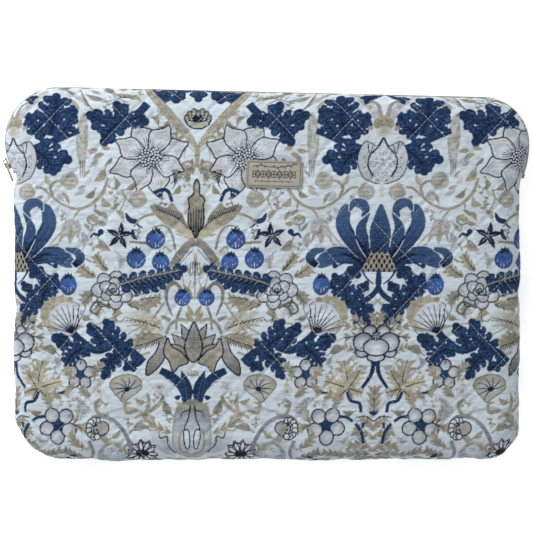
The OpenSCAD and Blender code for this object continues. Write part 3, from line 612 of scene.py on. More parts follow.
    sh = spline([(30, 328), (38, 316), (52, 310), (66, 312), (78, 318), (64, 324), (50, 330), (38, 332)], 6, True)
    fill(sh, TAN * 1.12, .2, grad=((44, 326), 30, GROUND))
    for k in range(9):
        stroke([(38 + k * 4, 327 - k * 1.0), (41 + k * 4, 319 + abs(4 - k) * .5)], 1.1, .4)
    stroke([(34, 328), (50, 322), (70, 317)], 1.2, .5)
    stroke([(30, 302), (44, 322), (58, 338)], 2.2, 1.6, TAN); stroke([(52, 326), (66, 334), (70, 340)], 1.6, 1, TAN); stroke([(50, 324), (68, 326)], 1.6, 1, TAN)
    stroke([(84, 308), (98, 302), (104, 310), (98, 314), (95, 309)], 2.6, 2.0, TAUPED, mot=.2)
    stroke([(70, 352), (80, 340), (86, 326), (84, 318)], 3.4, 1.2, TAUPE, mot=.25); stroke([(44, 352), (60, 356), (76, 346)], 2.6, 1.8, TAN, mot=.25)
    stroke([(76, 312), (90, 322), (112, 326)], 1.8, 1.2, TAN); leaf((112, 326), (126, 322), 3, 1, TAN); leaf((110, 327), (124, 330), 3, -1, TAN)
    # navy spray with a thistle
    stroke([(50, 362), (62, 352), (80, 346), (98, 350), (114, 340), (124, 330)], 8, 7.5, NAVY, mot=.2)
    acanthus((66, 350), (88, 322), 24, 4, 5); acanthus((72, 350), (96, 334), 18, -3, 4)
    acanthus((70, 352), (90, 376), 20, -4, 5); lobed((56, 358), (68, 368), 14, 2, 2)
    acanthus((92, 350), (104, 326), 16, -2, 4); lobed((104, 350), (138, 338), 18, 3, 3)
    acanthus((112, 348), (128, 366), 20, -3, 5)
    fill(spline([(118, 312), (124, 300), (134, 296), (146, 300), (154, 310), (150, 326), (138, 332), (126, 326)], 6, True), TAN * 1.1, .25, grad=((134, 312), 24, TAN), speck=(GROUND * .96, .6))
    for k in range(9):
        leaf((134 + 12 * math.cos(2.6 + k * .5), 312 + 10 * math.sin(2.6 + k * .5)), (134 + 22 * math.cos(2.6 + k * .5), 312 + 18 * math.sin(2.6 + k * .5)), 7, 1, TAN)
    th = spline([(121, 333), (115, 322), (116, 306), (126, 302), (138, 306), (146, 318), (138, 328), (128, 335)], 7, True)
    fill(th, GROUND * 1.02, .04, grad=((126, 316), 26, GREY))
    for k in range(9):
        a = -2.15 + k * .235
        stroke([(122.5, 333), (122.5 + 13 * math.cos(a), 333 + 14 * math.sin(a)), (121 + 27 * math.cos(a + .12), 333 + 29 * math.sin(a + .04))], 1.4, .5)
    stroke([(120, 334), (116, 322), (117, 308)], 1.3, .6); stroke([(126, 336), (138, 336), (146, 330)], 1.3, .5)
    # round-petalled flower on the second mirror line
    for a, b, w in (((B - 10, 328), (B - 26, 316), 9), ((B - 12, 336), (B - 34, 338), 9), ((B - 3, 326), (B - 5, 312), 9), ((B - 20, 352), (B - 34, 346), 8), ((B - 14, 330), (B - 34, 326), 8)):
        acanthus(a, b, w, 1, 3, TAN, None)
    stroke([(B - 12, 331), (B - 24, 319)], 1, .5); stroke([(B - 14, 335), (B - 33, 338)], 1, .5); stroke([(B, 326), (B, 317)], 1, .6)
    for c, rx, ry in (((B - 6.5, 331), 7, 6), ((B - 14, 352), 6.5, 5), ((B, 357), 9, 4.5), ((B - 13, 342), 10, 9.5), ((B, 347), 13, 8.5)):
        for cc in ((c,) if c[0] == B else (c, (2 * B - c[0], c[1]))):
            q = disc(cc, rx, ry)
            fill(q, PALE, .05, grad=((cc[0] + 1, cc[1] + 3), rx * 1.25, GREYD)); edge(q, 1.1)
            for j in range(-3, 4):
                stroke([(cc[0] + j * rx * .17, cc[1] + ry * .15), (cc[0] + j * rx * .22, cc[1] + ry * .7)], .4, .25, GREYD)
    fill(disc((B, 336), 5, 4.5), NAVYD)
    for k in range(14):
        a = 2.4 * k
        fill(disc((B + 4 * math.sqrt(k / 14) * math.cos(a), 336 + 3.6 * math.sqrt(k / 14) * math.sin(a)), .5, n=6), SEED, .02)
    stroke([(B - 2, 361), (B - 4, 374), (B - 13, 388)], 5, 3, NAVY, mot=.2)
    # hand-shaped pale leaves with dark veins
    c = (B - 27, 388)
    for ang, L in ((-1.75, 28), (-1.0, 22), (-2.85, 25), (2.45, 20), (.3, 16), (1.2, 12)):
        tip = (c[0] + L * math.cos(ang), c[1] + L * math.sin(ang))
        acanthus(c, tip, L * .56, 1, 4, TAN * 1.12, None)
        stroke([c, ((c[0] + tip[0]) / 2 + 1, (c[1] + tip[1]) / 2), tip], 1.2, .5)
    stroke([(B - 28, 391), (B - 24, 400), (B - 15, 403), (B - 13, 412)], 3, 3.4, NAVY, mot=.2)
    acanthus((B, 414), (B, 386), 14, 0, 4, TAN, None); stroke([(B, 408), (B, 389)], 1, .5)
    rosette((B - 70, 374), 15, 5, .9); stroke([(B - 64, 385), (B - 56, 391), (B - 47, 393)], 4, 2.2, NAVY, mot=.2)
    acanthus((B - 64, 378), (B - 54, 366), 10, 1, 3, TAN, None); acanthus((B - 84, 376), (B - 92, 362), 10, 1, 3, TAN, None)
    stroke([(B - 70, 364), (B - 71, 356)], .9, .5)
    rosette((B - 48, 425), 19, 5, .25); stroke([(B - 35, 416), (B - 27, 417), (B - 21, 421)], 3.4, 2.6, NAVY, mot=.2)
    acanthus((B - 64, 420), (B - 74, 404), 12, -2, 4, TAN, None); acanthus((B - 66, 426), (B - 78, 430), 10, 1, 3, TAN, None)
    stroke([(B - 63, 424), (B - 70, 416), (B - 74, 407)], 1.1, .5); stroke([(B - 65, 424), (B - 72, 429)], 1, .5)
    acanthus((B - 40, 408), (B - 34, 396), 9, -1, 3, TAN, None); acanthus((B - 50, 398), (B - 42, 390), 8, 1, 3, TAN, None)
    # lower border: urn of leaves on the second mirror line
    for a, b, w, bd in (((B, 430), (B - 14, 418), 9, 2), ((B, 438), (B - 22, 432), 9, 3), ((B, 450), (B - 26, 446), 11, 3), ((B - 4, 456), (B - 34, 458), 12, 2), ((B - 6, 444), (B - 16, 424), 8, -3), ((B - 30, 462), (B - 52, 452), 10, 2), ((B, 462), (B - 20, 470), 12, 2)):
        acanthus(a, b, w, bd, 4, TAN if w % 2 else TAUPE * 1.08, None)
    stroke([(B - 18, 423), (B - 12, 432), (B - 9, 443)], 3.4, 3, NAVY, mot=.2); stroke([(B - 10, 422), (B - 11, 428)], 3, 2.4, NAVY)
    stroke([(B - 18, 417), (B - 8, 416), (B, 421)], .9, 1.3); fill(blade((B - 5, 411), (B, 415), 3, 0), NAVY, .15); fill(blade((B, 416), (B, 409), 3, 0), NAVY, .15)
    stroke([(B - 20, 452), (B - 10, 444), (B, 442)], 1.6, 1, GREY)
    # curved navy stems and the pale cup at the lower centre
    stroke([(5, 404), (9, 390), (19, 378), (33, 370)], 9, 7, NAVY, wm=9, mot=.2)
    fill(blade((5, 405), (12, 370), 12, -2), NAVY, .3); stroke([(5, 402), (7, 388), (11, 374)], 1.0, .6, NAVYL); stroke([(10, 402), (20, 394)], 1.2, .6, GROUND)
    for k in range(5):
        stroke([(8.5 + k * .3, 398 - k * 4), (11.5 + k * .5, 394 - k * 4)], .8, .4, NAVYL)
        stroke([(13 + k * 4, 390 - k * 3.6), (17 + k * 4, 388 - k * 3.6)], .8, .4, NAVYL)
    leaf((12, 396), (19, 397), 5, 1, NAVY)
    cupb = spline([(0, 404), (-8, 402), (-16, 408), (-19, 424), (-19, 444), (-12, 456), (0, 460), (12, 456), (19, 444), (19, 424), (16, 408), (8, 402)], 7, True)
    fill(cupb, GROUND * 1.01, .04, grad=((0, 440), 34, GREYD), hatch=(math.pi / 2, 2.2, .35, GREY)); edge(cupb, .9, TAUPE)
    fill(disc((0, 403), 7, 4.5), TAUPE, .25); leaf((-1, 406), (17, 402), 6, 2, TAN)
    stroke([(2, 405), (4, 418), (8, 430), (6, 446)], 1.6, .8); stroke([(4, 410), (10, 412), (12, 418)], 1.2, .5)
    q = spline([(3, 431), (8, 430), (8, 440), (5, 449), (2, 445)], 6, True); fill(q, PALE, .04); edge(q, .9)
    stroke([(10, 428), (13, 440), (10, 452), (0, 457)], 2.2, 2.2, TAN); stroke([(15, 406), (19, 420)], 2.4, 1.2, TAN)
    ac = spline([(16, 452), (22, 440), (26, 430), (36, 426), (44, 420), (52, 422), (44, 430), (40, 440), (32, 450), (22, 456)], 6, True)
    fill(ac, GREY, .12, grad=((24, 450), 34, GROUND)); stroke([(16, 454), (24, 444), (25, 436), (32, 437), (35, 429), (42, 430), (52, 421)], 1.2, .7)
    acanthus((22, 432), (50, 416), 10, 2, 4, TAN, None); stroke([(40, 420), (62, 408), (88, 412)], 2.6, 2, GREY, wm=3.4)
    acanthus((0, 470), (16, 461), 12, 2, 4, PALE, INK); fill(blade((-22, 468), (0, 462), 7, 2), GREY, .1)
    # bottom daisies, pods, shells and curls
    daisy((50, 455), 15, 11, .3, .3); 
    for k in range(11):
        a = .3 + k * .571
        q = disc((50 + 10.5 * math.cos(a), 455 + 9.5 * math.sin(a)), 4.6, 2.1, a)
        fill(q, PALE, .03); edge(q, .7)
    fill(disc((50, 455), 6, 4), INK)
    shell = spline([(64, 398), (52, 388), (54, 378), (66, 374), (80, 378), (84, 386), (76, 396), (70, 402)], 6, True)
    fill(shell, GREY, .15, grad=((66, 388), 17, TAN)); edge(shell, .8, TAUPED)
    for k in range(8):
        a = -2.9 + k * .55
        stroke([(66, 389), (66 + 8 * math.cos(a), 389 + 7 * math.sin(a)), (66 + 15 * math.cos(a + .15), 389 + 12 * math.sin(a + .15))], 1.3, .5)
    fill(disc((66, 389), 2.2), INK)
    for pts in ([(44, 412), (34, 404), (30, 396), (36, 390)], [(48, 414), (44, 402), (46, 392)], [(56, 410), (66, 412), (68, 404), (62, 402)], [(92, 398), (98, 404), (94, 414), (84, 414)], [(38, 418), (50, 414), (58, 418)]):
        stroke(pts, 3.4, 1.4, TAN, wm=4, mot=.25)
    for x, y in ((34, 387), (95, 391)):
        for k in range(6):
            a = k * 1.05
            fill(disc((x + 4 * math.cos(a), y + 4 * math.sin(a)), 2.2), GREY * 1.06, .1)
        fill(disc((x, y), 2), TAN, .1)
        fill(disc((x - 8, y + 6), 6, 4), GREY * 1.06, .1, a=.4)
    stroke([(60, 456), (66, 436), (80, 420), (98, 416), (108, 424)], 3.6, 2.4, GREYD * 1.12, wm=4, mot=.25)
    stroke([(78, 462), (82, 446), (94, 434), (100, 440)], 4, 3, TAUPE * 1.1, wm=6, mot=.25)
    stroke([(104, 440), (100, 452), (102, 466)], 4, 3.4, GREYD * 1.1, mot=.25)
    for x, y, ro in ((96, 428, .2),):
        fill(disc((x - 4, y), 8, 7, ro), TAUPE * 1.12, .15, grad=((x - 4, y), 11, GREY)); edge(disc((x - 4, y), 8, 7, ro), .9)
        for k in range(8):
            a = -1.9 + k * .54
            q = disc((x + 2 + 6.5 * math.cos(a), y + 8.5 * math.sin(a)), 2.9)
            fill(q, PALE * .95, .05); edge(q, .8)
        for k in range(16):
            fill(disc((x + 2 + rr.normal() * 2.2, y + rr.normal() * 4), .8, n=7), INK)
    # a curled leaf with a speckled belly, low between the daisies
    p = spline([(74, 470), (66, 456), (70, 444), (82, 440), (92, 446), (96, 458), (92, 474)], 6, True)
    fill(p, GROUND * 1.02, .05, grad=((80, 452), 26, GREYD)); 
    for _ in range(90):
        x, y = rr.uniform(68, 94), rr.uniform(446, 474)
        if ((x - 81) / 12) ** 2 + ((y - 460) / 14) ** 2 < 1:
            fill(disc((x, y), .5, n=6), INK)
    stroke([(70, 452), (76, 444), (86, 444), (94, 454)], 4.4, 2, TAN, mot=.25)
    stroke([(60, 442), (68, 446), (66, 454), (60, 452)], 3, 2, TAN, mot=.25)
    for a, b, w, bd, c_ in (((110, 446), (124, 432), 8, 3, TAN), ((112, 458), (130, 450), 8, 2, TAUPE), ((114, 420), (104, 408), 6, 2, GREY), ((104, 396), (112, 386), 7, 2, TAN), ((118, 398), (110, 410), 6, 2, GREY), ((120, 384), (128, 396), 6, -2, TAN), ((116, 462), (104, 474), 8, 2, TAN), ((140, 462), (128, 474), 9, 2, TAN), ((28, 470), (40, 462), 8, 2, TAUPE), ((60, 470), (52, 478), 8, 2, TAN)):
        acanthus(a, b, w * 1.3, bd, 4, c_, None)
    fill(blade((B - 66, 456), (B - 58, 462), 5, 1), NAVY, .2); fill(blade((120, 470), (128, 462), 5, 1), NAVY, .2)


def filler():
    """Pale leaves and sprigs wherever the ground is still bare, the big ones first."""
    r = np.random.default_rng(29)
    for size, tries in ((12.0, 900), (8.5, 1400), (6.5, 1500)):
        for _ in range(tries):
            u, v = r.uniform(1, HALF - 1), r.uniform(PV0 + 10, PV1 - 10)
            s = mask_of(disc((u, v), size * 0.85, n=12))
            if s is None:
                continue
            sl, m = s
            bare = np.abs(C[sl][m] - GROUND).max(1) < 0.02
            if bare.mean() < 0.88 or (size < 8 and v < 330 and r.random() < 0.6):
                continue
            ang, turn = r.uniform(0, 6.28), float(r.choice((-1, 1)) * r.uniform(0.6, 1.3))
            col = (TAN, TAUPE * 1.1, GREY, TAN * 1.06, TAUPE)[r.integers(5)]
            dv = np.array([math.cos(ang), math.sin(ang)])
            nv = np.array([-dv[1], dv[0]])
            a, b = np.array([u, v]) - dv * size * 0.85, np.array([u, v]) + dv * size * 0.85
            if size > 7:                                  # a broad leaf on a curved stalk
                fill(blade(a + dv * size * 0.35, b, size * 0.72, turn * size * 0.22, 0.75), col, 0.28, speck=(col * 0.84, 0.62))
                stroke([a - nv * turn * size * 0.2, a + dv * size * 0.4, (a + b) / 2 + nv * turn * size * 0.2], 1.5, 0.9, col)
                for k in range(5):
                    t = 0.3 + 0.14 * k
                    q = a * (1 - t) + b * t + nv * turn * size * 0.2 * math.sin(math.pi * t)
                    for sd in (-1, 1):
                        stroke([q, q + (dv * 0.7 + nv * sd) * size * 0.20], 0.45, 0.25, col * 0.78)
                stroke([a + dv * size * 0.3, (a + b) / 2 + nv * turn * size * 0.2, b - dv * size * 0.15], 0.7, 0.3, col * 0.72)
            else:                                         # a sprig of three leaves
                c = (a + b) / 2 + nv * turn * size * 0.3
                stroke([a, c, b], 1.2, 0.6, col)
                for t, sd in ((0.2, 1), (0.5, -1), (0.75, 1)):
                    q = a * (1 - t) + b * t + nv * turn * size * 0.3 * math.sin(math.pi * t)
                    fill(blade(q, q + (dv * 0.5 + sd * nv * 0.8) * size * 0.66, size * 0.38, size * 0.06 * sd), col, 0.25)
                fill(blade(b - dv * size * 0.5, b + dv * size * 0.1, size * 0.4, 0), col, 0.25)


# ---------------------------------------------------------------- the sleeve's outline
SW_, SH_, ST_ = 363.0, 258.0, 28.0
MID, HW, SW = 14.0, 181.5, 174.7
Y0, FY = -129.0, 53.0
RL, RR = 38.0, 32.4
SLX, SLY = -HW + RL, Y0 + SH_ - RL
SRX, SRY = HW - RR, Y0 + SH_ - 7 - RR
TOPA = 90 - math.degrees(math.atan2(7, SW_ - 72))
EOUT = 18 * math.pi / 2 - 18          # how much further the cloth reaches when unrolled
ROLL = 18 * math.pi / 2


def smooth(t):
    t = np.clip(t, 0, 1)
    return t * t * (3 - 2 * t)


def arc(cx, cy, r, a0, a1, n=200):
    a = np.radians(np.linspace(a0, a1, n))
    return np.stack([cx + r * np.cos(a), cy + r * np.sin(a)], 1)


def bez(p, n=120):
    p = np.array(p, float)
    t = np.linspace(0, 1, n)[:, None]
    u = 1 - t
    return u ** 3 * p[0] + 3 * u * u * t * p[1] + 3 * u * t * t * p[2] + t ** 3 * p[3]


def resample(p, n, closed=False):
    if closed:
        p = np.vstack([p, p[:1]])
    s = np.concatenate([[0], np.cumsum(np.linalg.norm(np.diff(p, axis=0), axis=1))])
    keep = np.concatenate([[True], np.diff(s) > 1e-9])
    p, s = p[keep], s[keep]
    t = np.linspace(0, s[-1], n + 1)
    if closed:
        t = t[:-1]
    return np.stack([np.interp(t, s, p[:, k]) for k in range(2)], 1), s[-1]


lend = np.array([SLX + RL * math.cos(math.radians(216)), SLY + RL * math.sin(math.radians(216))])
ldir = np.array([-math.sin(math.radians(216)), math.cos(math.radians(216))])
raw = np.vstack([
    bez([[SW, FY], [SW, FY + 12], [HW, FY + 18], [HW, SRY]]), arc(SRX, SRY, RR, 0, TOPA), arc(SLX, SLY, RL, TOPA, 216),
    bez([lend, lend + 4 * ldir, [-SW, FY + 8], [-SW, FY]]), arc(-SW + 36, Y0 + 36, 36, 180, 270), arc(SW - 28, Y0 + 28, 28, 270, 360)])
raw, PERIM = resample(raw, 3000, True)
M = len(raw)


def around(a, k):
    """Mean of a closed run over a window of 2k + 1 samples."""
    return sum(np.roll(a, j, 0) for j in range(-k, k + 1)) / (2 * k + 1)


def normals(p, k=4):
    t = around(np.roll(p, -2, 0) - np.roll(p, 2, 0), k)
    t /= np.linalg.norm(t, axis=1)[:, None]
    return np.stack([-t[:, 1], t[:, 0]], 1)


QN = normals(raw)                                                 # inward
on_zip = raw[:, 1] > FY
QF = np.where(on_zip, smooth((raw[:, 1] - FY - 2) / 14), 0.0)     # how far the rims have parted
QE = raw + QN * QF[:, None]                                       # the cover's edge
QN = normals(QE)
QS = np.arange(M) * PERIM / M                                     # length round the outline
QC = around(around(QN, 17), 17)                                   # the same, eased, for rolling the cloth
QC /= np.linalg.norm(QC, axis=1)[:, None]
UB = QE - QC * EOUT                                               # the edge of the unrolled cloth
DUB, DQC = (np.roll(UB, -1, 0) - np.roll(UB, 1, 0)) / 2, (np.roll(QC, -1, 0) - np.roll(QC, 1, 0)) / 2
# the sewn edge wanders a little; it stays true along the zip
rs = np.random.default_rng(3)
WOB = sum(a * np.sin(2 * math.pi * (QS / PERIM * k + rs.random())) for k, a in ((9, .30), (17, .28), (26, .30), (41, .22), (67, .13)))
WOB *= smooth((FY - 8 - raw[:, 1]) / 24)


def lookup(tab, k, o):
    """Value of a closed run at sample k + o."""
    a, b = tab[k % M], tab[(k + np.where(o >= 0, 1, -1)) % M]
    w = np.abs(o)
    return a * (1 - w[:, None]) + b * w[:, None] if tab.ndim == 2 else a * (1 - w) + b * w


def split(s):
    k = np.round(s).astype(int)
    return k % M, s - k


def unit_rows(v):
    return v / np.maximum(np.linalg.norm(v, axis=1), 1e-9)[:, None]


def locate(p):
    """For points of the unrolled cloth: distance in from its edge, inward normal, and the sample of the edge."""
    n = len(p)
    delta, nrm = np.full(n, 60.0), np.zeros((n, 2))
    kk, oo = np.zeros(n, int), np.zeros(n)
    inside = (np.abs(p[:, 0]) < 144) & (p[:, 1] > Y0 + 24) & (p[:, 1] < 129 - 30)
    todo = np.where(~inside)[0]
    coarse = np.arange(0, M, 8)
    for c in range(0, len(todo), 30000):
        idx = todo[c:c + 30000]
        q = p[idx]
        d2 = (q[:, None, 0] - UB[None, coarse, 0]) ** 2 + (q[:, None, 1] - UB[None, coarse, 1]) ** 2
        k0 = coarse[d2.argmin(1)]
        w = np.arange(-9, 10)
        ks = (k0[:, None] + w[None]) % M
        d2 = ((q[:, None] - UB[ks]) ** 2).sum(2)
        j = np.clip(d2.argmin(1), 1, len(w) - 2)
        r = np.arange(len(q))
        a, b, e = d2[r, j - 1], d2[r, j], d2[r, j + 1]
        o = np.clip(0.5 * (a - e) / np.maximum(a - 2 * b + e, 1e-9), -0.5, 0.5)
        k = ks[r, j]
        s = k + o
        for _ in range(7):                                # follow the eased normal back to the edge
            k, o = split(s)
            N, U = unit_rows(lookup(QC, k, o)), lookup(UB, k, o)
            T = np.stack([N[:, 1], -N[:, 0]], 1)
            dl = ((q - U) * N).sum(1)
            J = ((lookup(DUB, k, o) + dl[:, None] * lookup(DQC, k, o)) * T).sum(1)
            step = ((q - U) * T).sum(1) / np.where(np.abs(J) < 0.05, 0.05, J)
            s = s + np.clip(step, -5, 5)
        k, o = split(s)
        N = unit_rows(lookup(QC, k, o))
        U = lookup(UB, k, o)
        dl = ((q - U) * N).sum(1)
        far = b > 33.5 ** 2
        delta[idx] = np.where(far, np.maximum(dl, 33), np.maximum(dl, 0))
        nrm[idx], kk[idx], oo[idx] = N, k, o
    return delta, nrm, kk, oo


def surf(p, loc, t, h, back=False):
    """Where the cloth point p lies once rolled round the edge, t deep in the panel and lifted h along its normal."""
    delta, N, k, o = loc
    near = delta < 59
    th = math.pi / 2 * np.minimum(1, delta / ROLL)
    f = np.where(near, lookup(QF, k, o), 0)
    rim = MID - 6.5 * f if back else MID + 6.35 * f
    face = t if back else ST_ - t
    q = lookup(QE, k, o) + N * (lookup(WOB, k, o) * np.exp(-(delta / 16) ** 2))[:, None]
    d = 18 - (18 - t) * np.cos(th)
    crease = np.exp(-(delta / 2.0) ** 2) * (1.1 * (1 - f) + 0.5 * f)
    xy = np.where((delta >= ROLL)[:, None], p, q + N * (d + crease)[:, None])
    z = np.where(delta >= ROLL, face, rim + (face - rim) * np.sin(th))
    rz = np.abs(face - rim)
    nx, nz = rz * np.cos(th), (18 - t) * np.sin(th)
    ln = np.hypot(nx, nz)
    nx, nz = nx / ln, nz / ln * (-1 if back else 1)
    xy = xy - N * (nx * h)[:, None]
    return np.column_stack([xy, z + nz * h])


def corner(cx, cy, r, a):
    c = np.array([cx + r * math.cos(math.radians(a)), cy + r * math.sin(math.radians(a))])
    return int(((raw - c) ** 2).sum(1).argmin())


K_TR, K_TL = corner(SRX, SRY, RR, 45), corner(SLX, SLY, RL, 135)
K_BL, K_BR = corner(-SW + 36, Y0 + 36, 36, 225), corner(SW - 28, Y0 + 28, 28, 315)


def run(k0, k1, n):
    idx = np.arange(k0, k1 + 1 if k1 > k0 else k1 + M + 1) % M
    return resample(UB[idx], n)[0]


def cloth_grid(step):
    """A grid over the unrolled cloth, its four sides following the outline."""
    nx, ny = int(round(382 / step)), int(round(278 / step))
    R, T = run(K_BR, K_TR, ny), run(K_TR, K_TL, nx)[::-1]
    L, B = run(K_TL, K_BL, ny)[::-1], run(K_BL, K_BR, nx)
    u, v = np.linspace(0, 1, nx + 1)[None, :, None], np.linspace(0, 1, ny + 1)[:, None, None]
    P = (1 - v) * B[None] + v * T[None] + (1 - u) * L[:, None] + u * R[:, None]
    P -= (1 - u) * (1 - v) * B[0] + u * (1 - v) * B[-1] + (1 - u) * v * T[0] + u * v * T[-1]
    return P.reshape(-1, 2), nx, ny


def quads(nx, ny, flip=False):
    i, j = np.meshgrid(np.arange(nx), np.arange(ny))
    a = (j * (nx + 1) + i).ravel()
    f = np.stack([a, a + 1, a + nx + 2, a + nx + 1], 1)
    return f[:, ::-1] if flip else f


def border(nx, ny):
    """Grid vertices round the edge, counter-clockwise."""
    w = nx + 1
    return np.concatenate([np.arange(nx), np.arange(ny) * w + nx, ny * w + nx - np.arange(nx), (ny - np.arange(ny)) * w])


def ring_quads(loop, first, rows, flip=False):
    """Faces joining a closed loop of vertices to further rows of the same length that start at vertex first."""
    n = len(loop)
    rings = [np.asarray(loop)] + [first + r * n + np.arange(n) for r in range(rows)]
    out = []
    for a, b in zip(rings, rings[1:]):
        f = np.stack([a, b, np.roll(b, -1), np.roll(a, -1)], 1)
        out.append(f[:, ::-1] if flip else f)
    return np.vstack(out)


def vnoise(x, y, cx, cy, seed):
    """Smooth noise from -1 to 1 with cells cx by cy."""
    r = np.random.default_rng(seed)
    g = r.random((256, 256)) * 2 - 1
    x, y = x / cx + 57.3, y / cy + 91.7
    ix, iy = np.floor(x).astype(int), np.floor(y).astype(int)
    fx, fy = x - ix, y - iy
    fx, fy = fx * fx * fx * (fx * (6 * fx - 15) + 10), fy * fy * fy * (fy * (6 * fy - 15) + 10)
    a = g[iy % 256, ix % 256] * (1 - fx) + g[iy % 256, (ix + 1) % 256] * fx
    b = g[(iy + 1) % 256, ix % 256] * (1 - fx) + g[(iy + 1) % 256, (ix + 1) % 256] * fx
    return a * (1 - fy) + b * fy


def new_mesh(name, v, faces, smooth_=True):
    """faces: one array of quads, or a list of arrays."""
    faces = faces if isinstance(faces, list) else [faces]
    me = bpy.data.meshes.new(name)
    me.vertices.add(len(v))
    me.vertices.foreach_set("co", (np.asarray(v, float) * 0.001).astype(np.float32).ravel())
    loops = np.concatenate([f.astype(np.int32).ravel() for f in faces])
    sizes = np.concatenate([np.full(len(f), f.shape[1], np.int32) for f in faces])
    me.loops.add(len(loops))
    me.loops.foreach_set("vertex_index", loops)
    me.polygons.add(len(sizes))
    me.polygons.foreach_set("loop_start", np.concatenate([[0], np.cumsum(sizes)[:-1]]).astype(np.int32))
    me.polygons.foreach_set("use_smooth", np.full(len(sizes), smooth_))
    me.update(calc_edges=True)
    me.validate()
    o = bpy.data.objects.new(name, me)
    bpy.context.scene.collection.objects.link(o)
    return o


def paint(o, name, rgb_):
    a = o.data.attributes.new(name, "FLOAT_COLOR", "POINT")
    a.data.foreach_set("color", np.column_stack([rgb_, np.ones(len(rgb_))]).astype(np.float32).ravel())


def flat_coords(o, xyz_mm):
    """Where each vertex lies on the flat cloth, in metres, so that the weave stays with the cloth."""
    a = o.data.attributes.new("flat", "FLOAT_VECTOR", "POINT")
    a.data.foreach_set("vector", (np.asarray(xyz_mm, float) * 0.001).astype(np.float32).ravel())


def to_linear(c):
    c = np.clip(c, 0, 1)
    return np.where(c <= 0.04045, c / 12.92, ((c + 0.055) / 1.055) ** 2.4)


# ---------------------------------------------------------------- quilting
GX, GY, LX, LY = 52.1 / 16, 55.2 / 16, 6.6, Y0 + 124.9
PERP = GX * GY / math.hypot(GX, GY)


def stitch_lines(x, y):
    """Distance to the nearest stitch line of each family, and the length along it."""
    I, J = (x - LX) / GX, (y - LY) / GY
    out = []
    for s in (-1, 1):
        w = I + s * J
        d = (w - 16 * np.round(w / 16)) * PERP
        out.append((d, ((x - LX) * GX - s * (y - LY) * GY) / math.hypot(GX, GY)))
    return out


def puff_by_cloth():
    """One layer of cloth, held along the stitch lines and blown up in between. Returns heights on the stitch grid, highest about 1."""
    i, j = np.arange(-62, 59), np.arange(-41, 44)
    I, J = np.meshgrid(i, j)
    ny, nx = len(j) - 1, len(i) - 1
    r = np.random.default_rng(7)
    held = ((I + J) % 16 == 0) | ((I - J) % 16 == 0) | (I == i[0]) | (I == i[-1]) | (J == j[0]) | (J == j[-1])
    z = np.where(held, 0, 0.6 + 0.5 * r.random(I.shape))
    v = np.column_stack([(I * GX).ravel(), (J * GY).ravel(), z.ravel()]) * 10
    o = new_mesh("quilt_sim", v, quads(nx, ny))
    g = o.vertex_groups.new(name="held")
    g.add([int(k) for k in np.where(held.ravel())[0]], 1.0, "REPLACE")
    m = o.modifiers.new("Cloth", "CLOTH")
    s = m.settings
    s.quality, s.mass, s.air_damping = 6, 0.3, 4.0
    s.tension_stiffness = s.compression_stiffness = 14
    s.shear_stiffness, s.bending_stiffness = 5, 0.35
    s.vertex_group_mass = "held"
    s.pin_stiffness = 1.0
    s.use_pressure, s.uniform_pressure_force = True, 3.0
    s.shrink_min = s.shrink_max = -0.035
    s.effector_weights.gravity = 0
    m.collision_settings.use_collision = False
    sc = bpy.context.scene
    m.point_cache.frame_start, m.point_cache.frame_end = 1, 24
    sc.frame_start, sc.frame_end = 1, 24
    for f in range(1, 25):
        sc.frame_set(f)
    dg = bpy.context.evaluated_depsgraph_get()
    ev = o.evaluated_get(dg)
    co = np.zeros(len(v) * 3)
    ev.data.vertices.foreach_get("co", co)
    h = co.reshape(-1, 3)[:, 2].reshape(I.shape) * 100      # back to mm
    sc.frame_set(1)
    bpy.data.objects.remove(o)
    ok = np.isfinite(h).all() and np.percentile(h, 95) > 0.3
    print("cloth puff height, mm: median {:.2f}, high {:.2f}, top {:.2f}".format(np.percentile(h, 50), np.percentile(h, 95), h.max()))
    return h / max(np.percentile(h, 97), 1e-6) if ok else None


def puff_by_hand():
    I, J = np.meshgrid(np.arange(-62, 59), np.arange(-41, 44))
    a, b = (I + J) / 16, (I - J) / 16
    h = np.abs(np.sin(math.pi * a) * np.sin(math.pi * b)) ** 0.6
    return h * (1 + 0.18 * vnoise(I * 3.3, J * 3.4, 14, 9, 5)) + 0.12 * vnoise(I * 3.3, J * 3.4, 7, 5, 6) * (h > 0.15)


PUFF = puff_by_cloth()
if PUFF is None:
    PUFF = puff_by_hand()
PUFF = np.clip(PUFF, -0.25, 1.4)


def cubic(x, y):
    """PUFF, read smoothly between its points."""
    fx, fy = (x - LX) / GX + 62, (y - LY) / GY + 41
    fx, fy = np.clip(fx, 1, PUFF.shape[1] - 3.001), np.clip(fy, 1, PUFF.shape[0] - 3.001)
    ix, iy = fx.astype(int), fy.astype(int)
    tx, ty = fx - ix, fy - iy

    def w(t):
        return [((-0.5 * t + 1) * t - 0.5) * t, (1.5 * t - 2.5) * t * t + 1, ((-1.5 * t + 2) * t + 0.5) * t, (0.5 * t - 0.5) * t * t]
    wx, wy = w(tx), w(ty)
    return sum(wy[b] * sum(wx[a] * PUFF[iy + b - 1, ix + a - 1] for a in range(4)) for b in range(4))


LABEL = (4.9, Y0 + 197.0, math.radians(-1.5), 38.6, 18.8)


def label_frame(x, y):
    c, s = math.cos(LABEL[2]), math.sin(LABEL[2])
    dx, dy = x - LABEL[0], y - LABEL[1]
    return dx * c + dy * s, -dx * s + dy * c


